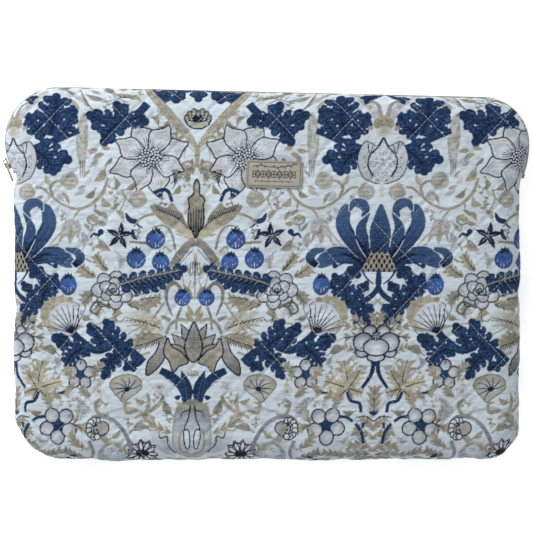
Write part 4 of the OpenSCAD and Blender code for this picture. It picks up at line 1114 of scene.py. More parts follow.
def relief(x, y, delta, back=False):
    """Height of the quilted cloth above the stitch lines' level, in mm."""
    if back:
        x = -x
    (da, sa), (db, sb) = stitch_lines(x, y)
    d1, d2 = np.abs(da), np.abs(db)
    near = np.minimum(d1, d2)
    h = 1.75 * cubic(x, y)
    # gathers that run out from the stitches
    for d, s, seed in ((d1, sa, 21), (d2, sb, 22)):
        g = np.sin(2 * math.pi * s / 5.2 + 1.8 * vnoise(x, y, 9, 9, seed)) * 0.16 + vnoise(s, d, 2.6, 14, seed + 5) * 0.16
        h += g * np.exp(-d / 5.5) * (1 - np.exp(-(d / 1.0) ** 2))
        h -= (0.34 + 0.10 * np.cos(2 * math.pi * s / 3.0)) * np.exp(-(d / 1.15) ** 2)
    # crinkled cotton: short ripples that lie across the panel
    h += 0.24 * vnoise(x, y, 13, 2.4, 31) + 0.17 * vnoise(x, y, 6, 1.5, 32) + 0.26 * vnoise(x, y, 34, 5.5, 33) + 0.10 * vnoise(x, y, 3.0, 1.2, 34)
    h += 0.16 * vnoise(x, y, 5, 16, 35)
    h *= 0.25 + 0.75 * smooth((delta - 1.5) / 9)
    # tucks drawn in by the seam and the zip
    h += 0.30 * vnoise(x * 0.5 + y * 0.5, x * 0.5 - y * 0.5, 5, 5, 36) * np.exp(-((delta - 5) / 5) ** 2)
    h += 0.55 * vnoise(x, y, 70, 52, 37)
    if not back:
        lx, ly = label_frame(x, y)
        out = np.hypot(np.maximum(np.abs(lx) - LABEL[3] / 2, 0), np.maximum(np.abs(ly) - LABEL[4] / 2, 0))
        h = h * smooth(out / 5) - 0.12 * (1 - smooth(out / 2))
    return h


# ---------------------------------------------------------------- reading the print
def print_colour(x, y, dx=0.0, dy=0.0):
    """Colour of the printed cloth at flat coordinates x, y."""
    a, b = 267 + (x + dx) / 0.69, 460 - (y + dy + 129) / 0.69
    xa, xb = 198.6 - 0.0195 * (b - 100), 383.6 - 0.036 * (b - 130)
    u = (a - xa) * HALF / (xb - xa)
    U = np.abs((u + HALF) % (2 * HALF) - HALF)
    v = (b - PV0) % (PV1 - PV0) + PV0
    fx, fy = np.clip((U + PU) * RES - 0.5, 0, W_ - 2), np.clip((v - PV0) * RES - 0.5, 0, H_ - 2)
    ix, iy = fx.astype(int), fy.astype(int)
    fx, fy = (fx - ix)[:, None], (fy - iy)[:, None]
    c = (C[iy, ix] * (1 - fx) + C[iy, ix + 1] * fx) * (1 - fy) + (C[iy + 1, ix] * (1 - fx) + C[iy + 1, ix + 1] * fx) * fy
    return to_linear(c) * GAIN


def across_fold(o):
    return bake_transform(o)


def cover(name, step, back):
    p, nx, ny = cloth_grid(step)
    loc = locate(p)
    h = relief(p[:, 0], p[:, 1], loc[0], back)
    if back:                                              # the back rests on what it lies on
        h = -np.clip(1.9 - h, 0, 3.2) * (0.15 + 0.85 * smooth(loc[0] / 20)) * 0.8
    v = surf(p, loc, 0, h, back)
    if back:
        v[:, 2] = np.maximum(v[:, 2], 0.02)
    loop = border(nx, ny)
    bl = tuple(a[loop] for a in loc)
    hem = [surf(p[loop], bl, 0.35, 0, back), surf(p[loop], bl, 0.8, 0, back)]
    hem[0][:, 2] += 0.12 if back else -0.12
    for dd in (2.0, 4.5):
        l2 = (np.full(len(loop), dd),) + bl[1:]
        hem.append(surf(p[loop] + bl[1] * dd, l2, 0.85, 0, back))
    # the hem's own surface is reached from the outside in
    f = [quads(nx, ny, back), ring_quads(loop, len(v), len(hem), not back)]
    v = np.vstack([v] + hem)
    o = new_mesh(name, v, f)
    pf = np.vstack([p] + [p[loop] - bl[1] * k for k in (0.4, 0.9, 3.0, 5.5)])
    sgn = -1 if back else 1
    paint(o, "print", print_colour(sgn * pf[:, 0], pf[:, 1], *((61.0, -34.0) if back else (0, 0))))
    flat_coords(o, np.column_stack([pf, np.zeros(len(pf))]))
    return o


def wadding(name, back):
    """The wadding between cover and lining, as one closed body."""
    p, nx, ny = cloth_grid(3.0)
    loc = locate(p)
    r = relief(p[:, 0], p[:, 1], loc[0], back)
    if back:
        h = -np.clip(1.9 - r, 0, 3.2) * (0.15 + 0.85 * smooth(loc[0] / 20)) * 0.8
        a = surf(p, loc, 1.1, h, True)
        a[:, 2] = np.maximum(a[:, 2], 1.0)
    else:
        a = surf(p, loc, 1.1, r - 0.25, False)
    b = surf(p, loc, 4.6, 0.12 * vnoise(p[:, 0], p[:, 1], 8, 8, 51), back)
    loop = border(nx, ny)
    mid = 0.5 * (a[loop] + b[loop])
    mid[:, 2] += 0.35 if not back else -0.35
    n = len(a)
    side = [np.stack([loop, np.arange(len(loop)) + 2 * n, np.roll(np.arange(len(loop)), -1) + 2 * n, np.roll(loop, -1)], 1),
            np.stack([np.arange(len(loop)) + 2 * n, loop + n, np.roll(loop, -1) + n, np.roll(np.arange(len(loop)), -1) + 2 * n], 1)]
    if not back:
        side = [s[:, ::-1] for s in side]
    f = [quads(nx, ny, back), quads(nx, ny, not back) + n] + side
    o = new_mesh(name, np.vstack([a, b, mid]), f)
    return o


def lining(name, back):
    p, nx, ny = cloth_grid(1.8)
    loc = locate(p)
    (da, sa), (db, sb) = stitch_lines(p[:, 0], p[:, 1])
    near = np.minimum(np.abs(da), np.abs(db))
    puff = 0.42 * (1 - np.exp(-(near / 4.5) ** 2)) + 0.16 * vnoise(p[:, 0], p[:, 1], 12, 3.5, 61) + 0.12 * vnoise(p[:, 0], p[:, 1], 4, 14, 62)
    v = surf(p, loc, 5.05, -0.1 - puff * smooth(loc[0] / 8), back)
    loop = border(nx, ny)
    bl = tuple(a_[loop] for a_ in loc)
    n = len(v)
    # it turns over the raw edge of the wadding, out to the cover
    up = -0.1 if back else 0.1
    rows = []
    for t, dz in ((4.9, -up), (4.2, -2.2 * up), (2.6, -2.6 * up), (1.3, -2.2 * up), (0.95, 0.8 * up)):
        w_ = surf(p[loop], bl, t, 0, back)
        w_[:, 2] += dz
        rows.append(w_)
    f = [quads(nx, ny, not back), ring_quads(loop, n, len(rows), back)]
    o = new_mesh(name, np.vstack([v] + rows), f)
    flat_coords(o, np.column_stack([np.vstack([p] + [p[loop] - bl[1] * k for k in (0.3, 1.0, 2.6, 3.9, 4.4)]), np.zeros(n + 5 * len(loop))]))
    return o


# ---------------------------------------------------------------- strips along the edge
def stations(lo, step=1.2, pred=None):
    """Edge samples whose opening is above lo, evenly spaced, from the right end round to the left."""
    idx = np.where(on_zip & (QF > lo))[0]
    idx = idx[np.argsort(idx)]
    cut = np.where(np.diff(idx) > 5)[0]
    if len(cut):
        idx = np.concatenate([idx[cut[0] + 1:], idx[:cut[0] + 1]])
    if pred is not None:
        idx = np.array([k for k in idx if pred(raw[k])])
    k = max(1, int(round(step / (PERIM / M))))
    s = idx[::k]
    return s if s[-1] == idx[-1] else np.append(s, idx[-1])


def chain_ok(p):
    return p[1] > FY + 13 if p[0] > 0 else (p[0] > SLX or p[1] > SLY + RL * math.sin(math.radians(211)))


def strip(name, idx, section):
    """section(f) gives a list of (depth, height) rows, clockwise seen along the run; the ends are capped."""
    f, q, N = QF[idx], QE[idx], QN[idx]
    q = q + N * (1.0 * (1 - f) ** 1.5 + np.maximum(WOB[idx], 0) * (1 - f))[:, None]
    rows = section(f)
    m, n = len(rows), len(idx)
    v = np.zeros((n, m, 3))
    for k, (d, z) in enumerate(rows):
        v[:, k, :2] = q + N * np.broadcast_to(d, n)[:, None]
        v[:, k, 2] = z
    i, k = np.meshgrid(np.arange(n - 1), np.arange(m), indexing="ij")
    a, b = (i * m + k).ravel(), (i * m + (k + 1) % m).ravel()
    fs = [np.stack([a, b, b + m, a + m], 1)]
    vv = v.reshape(-1, 3)
    c0, c1 = vv[:m].mean(0), vv[-m:].mean(0)
    vv = np.vstack([vv, c0, c1])
    e = np.arange(m)
    fs.append(np.stack([(e + 1) % m, e, np.full(m, n * m)], 1))
    fs.append(np.stack([e + (n - 1) * m, (e + 1) % m + (n - 1) * m, np.full(m, n * m + 1)], 1))
    o = new_mesh(name, vv, fs)
    s = QS[idx]
    fl = np.zeros((len(vv), 3))
    per = np.concatenate([[0], np.cumsum([np.hypot(np.mean(np.broadcast_to(rows[(k + 1) % m][0], n) - np.broadcast_to(rows[k][0], n)), np.mean(rows[(k + 1) % m][1] - rows[k][1])) for k in range(m - 1)])])
    fl[:n * m, 0] = np.repeat(s, m)
    fl[:n * m, 1] = np.tile(per, n)
    fl[n * m:, 0] = s[[0, -1]]
    flat_coords(o, fl)
    return o


def rounded(d0, d1, z0, z1, r, n=3, bulge=0.0):
    """A rounded box section between depths d0, d1 and heights z0, z1, each a number or a run."""
    out = []
    for (cd, cz, a0) in ((d0 + r, z0 + r, 180), (d0 + r, z1 - r, 90), (d1 - r, z1 - r, 0), (d1 - r, z0 + r, -90)):
        for k in range(n + 1):
            a = math.radians(a0 + (0 if n == 0 else (1 - k / n)) * 90)
            out.append((cd + r * math.cos(a), cz + r * math.sin(a)))
    return out


def tape_section(front):
    def sec(f):
        lo = np.where(np.ones_like(f) > 0, 16.45, 0) if front else MID - 6.5 * f - 0.2
        hi = MID + 6.35 * f + 0.25 if front else np.full_like(f, 11.55)
        hi = np.maximum(hi, lo + 0.3)
        rows = []
        for t in np.linspace(0, 1, 9):
            rows.append((0.16 + 0.07 * math.sin(t * 9) + 0 * f, lo + (hi - lo) * t))
        for t in np.linspace(1, 0, 9):
            rows.append((0.74 + 0 * f, lo + (hi - lo) * t))
        return rows
    return sec


def binding_section(front):
    def sec(f):
        rim = MID + 6.35 * f if front else MID - 6.5 * f
        z0, z1 = (rim - 0.75, rim + 0.02) if front else (rim - 0.02, rim + 0.75)
        rows = [(d + 0 * f, z) for d, z in [(1.1, z0), (0.9, z0 + 0.2), (0.9, z1 - 0.2), (1.1, z1)]]
        rows += [(d + 0 * f, z1 + 0.06 * math.sin(d * 5)) for d in (1.9, 2.8, 3.7, 4.6)]
        rows += [(d + 0 * f, z) for d, z in [(5.15, z1), (5.35, z1 - 0.2), (5.35, z0 + 0.2), (5.15, z0)]]
        return rows
    return sec


def seam_section(f):
    """Tape over the inner seam, lying against both linings."""
    t = 5.35
    def at(t_, a, side):
        c, s = math.cos(a), math.sin(a)
        return 18 - (18 - t_) * c + 0 * f, (MID + ((t_ if side == 0 else ST_ - t_) - MID) * s) + 0 * f
    outer = [at(t, math.radians(a), 0) for a in (24, 16, 8)] + [at(t, 0, 0)] + [at(t, math.radians(a), 1) for a in (8, 16, 24)]
    inner = [at(t + 0.75, math.radians(a), 1) for a in (24, 16, 8)] + [at(t + 0.75, 0, 0)] + [at(t + 0.75, math.radians(a), 0) for a in (8, 16, 24)]
    return outer + inner


def tube(path, r, sides=6, closed_ends=True, ry=None):
    """A round thread along a path of points, as vertices and faces."""
    p = np.asarray(path, float)
    t = np.gradient(p, axis=0)
    t /= np.maximum(np.linalg.norm(t, axis=1), 1e-9)[:, None]
    up = np.tile([0, 0, 1.0], (len(p), 1))
    u = np.cross(t, up)
    bad = np.linalg.norm(u, axis=1) < 1e-3
    u[bad] = np.cross(t[bad], [1.0, 0, 0])
    u /= np.linalg.norm(u, axis=1)[:, None]
    w = np.cross(u, t)
    a = np.linspace(0, 2 * math.pi, sides, endpoint=False)
    rr = np.full(len(p), r) if np.isscalar(r) else np.asarray(r)
    v = p[:, None] + (u[:, None] * np.cos(a)[None, :, None] + w[:, None] * np.sin(a)[None, :, None] * (1 if ry is None else ry)) * rr[:, None, None]
    n = len(p)
    i, k = np.meshgrid(np.arange(n - 1), np.arange(sides), indexing="ij")
    x, y = (i * sides + k).ravel(), (i * sides + (k + 1) % sides).ravel()
    f = np.stack([x, y, y + sides, x + sides], 1)
    vv = v.reshape(-1, 3)
    e = np.arange(sides)
    caps = np.vstack([np.stack([e, np.full(sides, n * sides), (e + 1) % sides], 1),
                      np.stack([(e + 1) % sides + (n - 1) * sides, np.full(sides, n * sides + 1), e + (n - 1) * sides], 1)])
    return np.vstack([vv, p[0] - t[0] * r * 0.3 if np.isscalar(r) else p[0], p[-1] + t[-1] * r * 0.3 if np.isscalar(r) else p[-1]]), f[:, ::-1], caps


def gather(parts):
    v, f4, f3, base = [], [], [], 0
    for a, b, c in parts:
        v.append(a)
        f4.append(b + base)
        f3.append(c + base)
        base += len(a)
    return np.vstack(v), [np.vstack(f4), np.vstack(f3)]


def coil(name, front):
    """One row of teeth: a flattened spiral of filament along the tape."""
    idx = stations(0.5, 0.4, chain_ok)
    q, N = QE[idx], QN[idx]
    s = np.concatenate([[0], np.cumsum(np.linalg.norm(np.diff(q, axis=0), axis=1))])
    pitch, seg = 1.3, 13
    turns = int(s[-1] / pitch) - 1
    ph = np.arange(turns * seg) / seg
    ss = (ph + 0.7 + (0.5 if front else 0)) * pitch
    a = 2 * math.pi * ph
    qq = np.stack([np.interp(ss, s, q[:, k]) for k in range(2)], 1)
    nn = np.stack([np.interp(ss, s, N[:, k]) for k in range(2)], 1)
    zc, up = (15.08, -1) if front else (12.92, 1)
    # the loop's head is thicker and meets the other row
    z = zc + up * 1.28 * np.cos(a)
    d = -0.08 + 0.66 * np.sin(a)
    path = np.column_stack([qq + nn * d[:, None], z])
    r = 0.235 + 0.055 * smooth((np.cos(a) - 0.3) / 0.6)
    v, f, c = tube(path, r, 6)
    o = new_mesh(name, v, [f, c])
    return o


def core(name, front):
    """The cord that the spiral is wound on."""
    idx = stations(0.5, 1.0, chain_ok)
    q, N = QE[idx], QN[idx]
    z = 15.6 if front else 12.4
    return tube(np.column_stack([q + N * 0.0, np.full(len(q), z)]), 0.36, 6)


def stitch_row(path_fn, total, pitch, gap, r, sink, n=7):
    parts = []
    k = int(total // pitch)
    for i in range(k):
        t = np.linspace(i * pitch + gap / 2, (i + 1) * pitch - gap / 2, n)
        p = path_fn(t)
        arch = np.sin(np.linspace(0, math.pi, n)) ** 0.5
        p = p + path_fn.normal(t) * (arch * sink - sink * 0.55)[:, None]
        parts.append(tube(p, r * (0.55 + 0.45 * np.sin(np.linspace(0.15, math.pi - 0.15, n))), 6))
    return parts


def quilt_threads(name, back):
    """Running stitches along the quilting lines, on the surface of the cover."""
    P, I0 = 3.0, 400
    pts, runs = [], []
    L = math.hypot(GX, GY)
    for fam in (-1, 1):
        for k in range(-9, 10):
            # line I + fam J = 16 k, walked in steps of one stitch
            s = np.arange(-120, 121) * P
            # point on the line nearest the lattice origin, then along it
            x = LX + (16 * k * PERP) * GY / L + s * GX / L
            y = LY + fam * (16 * k * PERP) * GX / L - fam * s * GY / L
            for a in range(len(s) - 1):
                t = np.linspace(0.03, 0.97, 7)
                px, py = x[a] + (x[a + 1] - x[a]) * t, y[a] + (y[a + 1] - y[a]) * t
                if abs(px[3]) > 193 or abs(py[3]) > 141:
                    continue
                runs.append((len(pts) * 7, 0))
                pts.append(np.column_stack([px, py]))
    p = np.vstack(pts)
    loc = locate(p)
    # inside the outline, clear of the rim, and not under the label
    d = loc[0].reshape(-1, 7)
    lx, ly = label_frame(p[:, 0], p[:, 1])
    hid = ((np.abs(lx) < LABEL[3] / 2 + 0.2) & (np.abs(ly) < LABEL[4] / 2 + 0.2)).reshape(-1, 7).any(1) & (not back)
    inside = inside_edge(p).reshape(-1, 7).all(1)
    ok = (d.min(1) > 5.0) & ~hid & inside
    arch = np.tile(np.sin(np.linspace(0.0, math.pi, 7)) ** 0.6, len(pts))
    h = relief(p[:, 0], p[:, 1], loc[0], back)
    if back:
        h = -np.clip(1.9 - h, 0, 3.2) * (0.15 + 0.85 * smooth(loc[0] / 20)) * 0.8
        v = surf(p, loc, 0, h + (arch * 0.26 - 0.22), True)
    else:
        v = surf(p, loc, 0, h + arch * 0.34 - 0.16, False)
    v = v.reshape(-1, 7, 3)
    rad = 0.135 * (0.6 + 0.4 * np.sin(np.linspace(0.2, math.pi - 0.2, 7)))
    return gather([tube(q, rad, 6) for q in v[ok]])


def inside_edge(p):
    """Which points lie inside the unrolled cloth."""
    res = np.zeros(len(p), bool)
    a, b = UB[::6], np.roll(UB[::6], -1, 0)
    for (ax, ay), (bx, by) in zip(a, b):
        if ay == by:
            continue
        c = (p[:, 1] >= min(ay, by)) & (p[:, 1] < max(ay, by))
        c &= p[:, 0] < ax + (p[:, 1] - ay) * (bx - ax) / (by - ay)
        res ^= c
    return res


# ---------------------------------------------------------------- small hardware from the frame
def copy_node(name, nodes, bevel=0.00012, segs=2, angle=32):
    """A finished copy of CAD nodes: doubles merged, edges rounded."""
    bm = bmesh.new()
    for n in nodes:
        bm.from_mesh(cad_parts[n].data)
    bmesh.ops.remove_doubles(bm, verts=bm.verts, dist=2e-6)
    bmesh.ops.dissolve_limit(bm, angle_limit=math.radians(2), verts=bm.verts, edges=bm.edges)
    me = bpy.data.meshes.new(name)
    bm.to_mesh(me)
    bm.free()
    o = bpy.data.objects.new(name, me)
    bpy.context.scene.collection.objects.link(o)
    m = o.modifiers.new("edge", "BEVEL")
    m.width, m.segments, m.limit_method, m.angle_limit = bevel, segs, "ANGLE", math.radians(angle)
    m.use_clamp_overlap = True
    m.harden_normals = False
    dg = bpy.context.evaluated_depsgraph_get()
    me2 = bpy.data.meshes.new_from_object(o.evaluated_get(dg))
    o.modifiers.clear()
    o.data = me2
    me2.polygons.foreach_set("use_smooth", np.ones(len(me2.polygons), bool))
    me2.set_sharp_from_angle(angle=math.radians(48))
    return o


# ---------------------------------------------------------------- label
def seg(x, y, a, b, r0, r1):
    """Signed distance to a tapered line."""
    ax, ay = a
    bx, by = b
    L2 = max((bx - ax) ** 2 + (by - ay) ** 2, 1e-9)
    t = np.clip(((x - ax) * (bx - ax) + (y - ay) * (by - ay)) / L2, 0, 1)
    return np.hypot(x - ax - t * (bx - ax), y - ay - t * (by - ay)) - (r0 + (r1 - r0) * t)


def almond(x, y, a, b, w):
    ax, ay = a
    bx, by = b
    L = math.hypot(bx - ax, by - ay)
    ux, uy = (bx - ax) / L, (by - ay) / L
    t = ((x - ax) * ux + (y - ay) * uy) / L
    d = np.abs(-(x - ax) * uy + (y - ay) * ux)
    return np.where((t > 0) & (t < 1), d - w / 2 * np.sin(math.pi * np.clip(t, 0, 1)) ** 0.8, 9.0)


def label_art(x, y):
    """A generic pressed ornament: a sprig above, a row of leaf scrolls and lozenges, and a beaded line."""
    d = np.full(x.shape, 9.0)
    pts = [(-14.5, 5.2), (-9, 5.9), (-4, 5.0), (2, 4.7), (8, 5.5), (13, 6.6), (15.5, 7.0)]
    for a, b in zip(pts, pts[1:]):
        d = np.minimum(d, seg(x, y, a, b, 0.32, 0.32))
    for k, (px_, py_) in enumerate([(-12.5, 5.5), (-10, 5.9), (-7.4, 5.6), (-1, 4.75), (1.6, 4.7), (4, 4.95), (6.2, 5.2), (8.4, 5.6), (10.6, 6.1), (12.6, 6.5)]):
        sd = 1 if k % 2 else -1
        d = np.minimum(d, almond(x, y, (px_, py_), (px_ + 1.7, py_ + sd * 1.15), 1.15))
    # the middle band: lozenges between pairs of curled leaves
    for cx in (-11.2, -3.75, 3.75, 11.2):
        e = np.abs(x - cx) / 1.55 + np.abs(y + 0.2) / 2.6 - 1
        d = np.minimum(d, np.abs(e) * 1.1 - 0.40)
        d = np.minimum(d, np.hypot(x - cx, y + 0.2) - 0.55)
    for cx in (-14.6, -7.5, 0.0, 7.5, 14.6):
        for s in (-1, 1):
            for t in (-1, 1):
                if abs(cx + s * 1.9) > 16.4:
                    continue
                d = np.minimum(d, np.abs(np.hypot((x - cx - s * 0.95) / 1.0, (y + 0.2 - t * 1.05) / 1.1) - 0.95) - 0.30)
        d = np.minimum(d, seg(x, y, (cx, -2.5), (cx, 2.1), 0.3, 0.3))
    for k in range(18):
        d = np.minimum(d, np.hypot((x + 12.75 - k * 1.5), (y + 5.1)) - (0.46 if k % 3 else 0.62))
    return smooth((0.12 - d) / 0.22)


def leather_label(name):
    st = 0.16
    nx, ny = int(LABEL[3] / st), int(LABEL[4] / st)
    u, v = np.meshgrid(np.linspace(-1, 1, nx + 1), np.linspace(-1, 1, ny + 1))
    w, h = LABEL[3] / 2, LABEL[4] / 2
    x, y = u * w, v * h
    # small corner radius
    r = 0.7
    cx, cy = np.clip(x, -w + r, w - r), np.clip(y, -h + r, h - r)
    ex, ey = x - cx, y - cy
    inf = np.maximum(np.abs(ex), np.abs(ey))
    nn = np.maximum(np.hypot(ex, ey), 1e-9)
    x, y = np.where(inf > 0, cx + ex / nn * inf, x), np.where(inf > 0, cy + ey / nn * inf, y)
    wob_ = 0.10 * vnoise(x, y, 6, 6, 71)
    edge_ = np.minimum(w - np.abs(u) * w, h - np.abs(v) * h)
    art = label_art(x, y)
    groove = np.exp(-((np.minimum(w - np.abs(x), h - np.abs(y)) - 1.3) / 0.42) ** 2)
    z = 29.2 - 0.22 * np.exp(-(edge_ / 0.5) ** 1.6) - 0.16 * art - 0.10 * groove + 0.025 * vnoise(x, y, 0.7, 0.7, 72) + 0.05 * vnoise(x, y, 9, 7, 73)
    top = np.stack([x, y, z], 2).reshape(-1, 3)
    loop = border(nx, ny)
    rows = []
    for dz, ins in ((-0.42, -0.06), (-0.85, -0.05), (-1.15, 0.06), (-1.22, 0.5)):
        q = top[loop].copy()
        nrm = np.column_stack([np.sign(q[:, 0]) * (np.abs(q[:, 0]) > w - 0.3), np.sign(q[:, 1]) * (np.abs(q[:, 1]) > h - 0.3)]).astype(float)
        q[:, :2] -= nrm * ins * 0.7
        q[:, 2] = 29.2 + dz
        rows.append(q)
    base = np.vstack([top] + rows)
    f = [quads(nx, ny), ring_quads(loop, len(top), len(rows), True)]
    last = len(top) + (len(rows) - 1) * len(loop) + np.arange(len(loop))
    c = len(base)
    base = np.vstack([base, [[0, 0, 29.2 - 1.22]]])
    f.append(np.stack([np.roll(last, -1), last, np.full(len(loop), c)], 1))
    art_all = np.concatenate([art.ravel(), np.zeros(len(base) - len(top))])
    gr_all = np.concatenate([groove.ravel(), np.zeros(len(base) - len(top))])
    ed_all = np.concatenate([np.exp(-(edge_.ravel() / 0.8)), np.ones(len(base) - len(top))])
    cs, sn = math.cos(LABEL[2]), math.sin(LABEL[2])
    xy = base[:, :2] @ np.array([[cs, sn], [-sn, cs]]) + LABEL[:2]
    o = new_mesh(name, np.column_stack([xy, base[:, 2]]), f)
    flat_coords(o, np.column_stack([base[:, :2], np.zeros(len(base))]))
    paint(o, "marks", np.column_stack([art_all, gr_all, ed_all]))
    return o


def label_stitching(name):
    parts = []
    lx, ly = LABEL[3] - 2.6, LABEL[4] - 2.6
    cs, sn = math.cos(LABEL[2]), math.sin(LABEL[2])
    R = np.array([[cs, sn], [-sn, cs]])

    def add(a, b):
        t = np.linspace(0, 1, 8)[:, None]
        p = np.array(a) * (1 - t) + np.array(b) * t
        z = 29.03 + 0.20 * np.sin(math.pi * t[:, 0]) ** 0.55
        q = np.column_stack([p @ R + LABEL[:2], z])
        parts.append(tube(q, 0.21 * (0.7 + 0.3 * np.sin(np.linspace(0.2, math.pi - 0.2, 8))), 7))
    nx, ny = 17, 8
    for i in range(nx):
        for s in (-1, 1):
            c = -lx / 2 + (i + 0.5) * lx / nx
            add((c - 0.82, s * ly / 2 + 0.06 * math.sin(i * 2.1)), (c + 0.82, s * ly / 2 - 0.06 * math.sin(i * 1.7)))
    for i in range(ny):
        for s in (-1, 1):
            c = -ly / 2 + (i + 0.5) * ly / ny
            add((s * lx / 2, c - 0.78), (s * lx / 2 + 0.05 * math.sin(i * 2.3), c + 0.78))
    v, f = gather(parts)
    return new_mesh(name, v, f)


def gusset(name, right):
    """The folded end of the zip tape: closes the wall where the rims part, beside the end of the teeth."""
    end = FY + 14.2 if right else SLY + RL * math.sin(math.radians(211)) - 3.7
    idx = np.array([k for k in range(M) if (raw[k, 0] > 0) == right and FY - 2.5 < raw[k, 1] < end and abs(raw[k, 0]) > 120])
    idx = idx[::2]
    f, q, N = QF[idx], QE[idx], QN[idx]
    q = q + N * (0.55 + 0.75 * (1 - f) + np.maximum(WOB[idx], 0))[:, None]
    rows = []
    t = np.linspace(0, 1, 13)
    lo, hi = np.minimum(MID - 6.5 * f - 0.15, MID - 2.6), np.maximum(MID + 6.35 * f + 0.15, MID + 0.8)
    for d0, tt in ((0.45, t), (1.0, t[::-1])):
        for s in tt:
            rows.append((d0 + 0.25 * np.sin(math.pi * s) * f + 0.05 * math.sin(s * 14), lo + (hi - lo) * s))
    n, m = len(idx), len(rows)
    v = np.zeros((n, m, 3))
    for k, (d, z) in enumerate(rows):
        v[:, k, :2] = q + N * np.asarray(d)[:, None]
        v[:, k, 2] = z
    i, k = np.meshgrid(np.arange(n - 1), np.arange(m), indexing="ij")
    a, b = (i * m + k).ravel(), (i * m + (k + 1) % m).ravel()
    half = m // 2
    j = np.arange(half - 1)
    caps = [np.stack([e + j + 1, e + j, e + m - 1 - j, e + m - 2 - j], 1)[:, ::(1 if e == 0 else -1)] for e in (0, (n - 1) * m)]
    o = new_mesh(name, v.reshape(-1, 3), [np.stack([a, b, b + m, a + m], 1)] + caps)
    fl = np.zeros((n * m, 3))
    fl[:, 0], fl[:, 1] = np.repeat(QS[idx], m), v[:, :, 2].ravel()
    flat_coords(o, fl)
    return o


# ---------------------------------------------------------------- materials
class Nodes:
    def __init__(self, name):
        self.m = bpy.data.materials.new(name)
        self.m.use_nodes = True
        self.t = self.m.node_tree
        self.t.nodes.clear()
        self.out = self.t.nodes.new("ShaderNodeOutputMaterial")
        self.b = self.t.nodes.new("ShaderNodeBsdfPrincipled")
        self.t.links.new(self.b.outputs[0], self.out.inputs[0])

    def node(self, kind, **k):
        n = self.t.nodes.new("ShaderNode" + kind)
        for a, v in k.items():
            setattr(n, a, v)
        return n

    def put(self, n, i, v):
        if hasattr(v, "links") or isinstance(v, bpy.types.NodeSocket):
            self.t.links.new(v, n.inputs[i])
        else:
            n.inputs[i].default_value = v
        return n

    def set(self, **k):
        for a, v in k.items():
            self.put(self.b, a.replace("_", " "), v)

    def flat(self):
        return self.node("Attribute", attribute_name="flat").outputs["Vector"]

    def obj(self):
        return self.node("TexCoord").outputs["Object"]

    def mapping(self, vec, scale=(1, 1, 1), rot=(0, 0, 0)):
        n = self.node("Mapping")
        self.put(n, "Vector", vec)
        n.inputs["Scale"].default_value = scale
        n.inputs["Rotation"].default_value = rot
        return n.outputs[0]

    def noise(self, vec, scale, detail=2.0, rough=0.5, dist=0.0):
        n = self.node("TexNoise")
        self.put(n, "Vector", vec)
        for a, v in (("Scale", scale), ("Detail", detail), ("Roughness", rough), ("Distortion", dist)):
            n.inputs[a].default_value = v
        return n.outputs[0]

    def wave(self, vec, scale, axis="X", dist=0.0, dscale=1.0, profile="SIN"):
        n = self.node("TexWave", bands_direction=axis, wave_profile=profile)
        self.put(n, "Vector", vec)
        for a, v in (("Scale", scale), ("Distortion", dist), ("Detail", 1.0), ("Detail Scale", dscale)):
            n.inputs[a].default_value = v
        return n.outputs[1]

    def math(self, op, a, b=0.5, c=None):
        n = self.node("Math", operation=op)
        self.put(n, 0, a)
        self.put(n, 1, b)
        if c is not None:
            self.put(n, 2, c)
        return n.outputs[0]

    def range(self, v, a, b, c, d):
        n = self.node("MapRange")
        self.put(n, 0, v)
        for i, x in zip((1, 2, 3, 4), (a, b, c, d)):
            n.inputs[i].default_value = x
        return n.outputs[0]

    def mix(self, f, a, b, mode="MIX"):
        n = self.node("Mix", data_type="RGBA", blend_type=mode)
        self.put(n, 0, f)
        for i, v in ((6, a), (7, b)):
            self.put(n, i, (*v, 1.0) if isinstance(v, (tuple, list)) and len(v) == 3 else v)
        return n.outputs[2]

    def bump(self, h, strength, distance, normal=None):
        n = self.node("Bump")
        self.put(n, "Height", h)
        n.inputs["Strength"].default_value = strength
        n.inputs["Distance"].default_value = distance
        if normal is not None:
            self.put(n, "Normal", normal)
        return n.outputs[0]


def srgb(*c):
    return tuple(float(x) for x in to_linear(np.array(c, float) / 255))


def weave(N, vec, pitch, over=1.0):
    """Plain weave: warp and weft crests in turn. Pitch in mm between threads."""
    # a wave texture at scale 1 has 20 / (2 pi) bands per unit
    s = 2 * math.pi / (20 * pitch * 1e-3)
    a, b = N.wave(vec, s, "X", 0.6, 40), N.wave(vec, s, "Y", 0.6, 40)
    h, g = N.wave(vec, s / 2, "X"), N.wave(vec, s / 2, "Y")
    chk = N.math("SUBTRACT", h, 0.5)
    chk2 = N.math("SUBTRACT", g, 0.5)
    prod = N.math("MULTIPLY", N.math("MULTIPLY", chk, chk2), 4.0)
    sel = N.range(prod, -0.35, 0.35, 0.0, 1.0)
    m = N.node("Mix", data_type="FLOAT")
    N.put(m, 0, sel)
    N.put(m, 2, a)
    N.put(m, 3, b)
    return m.outputs[0]


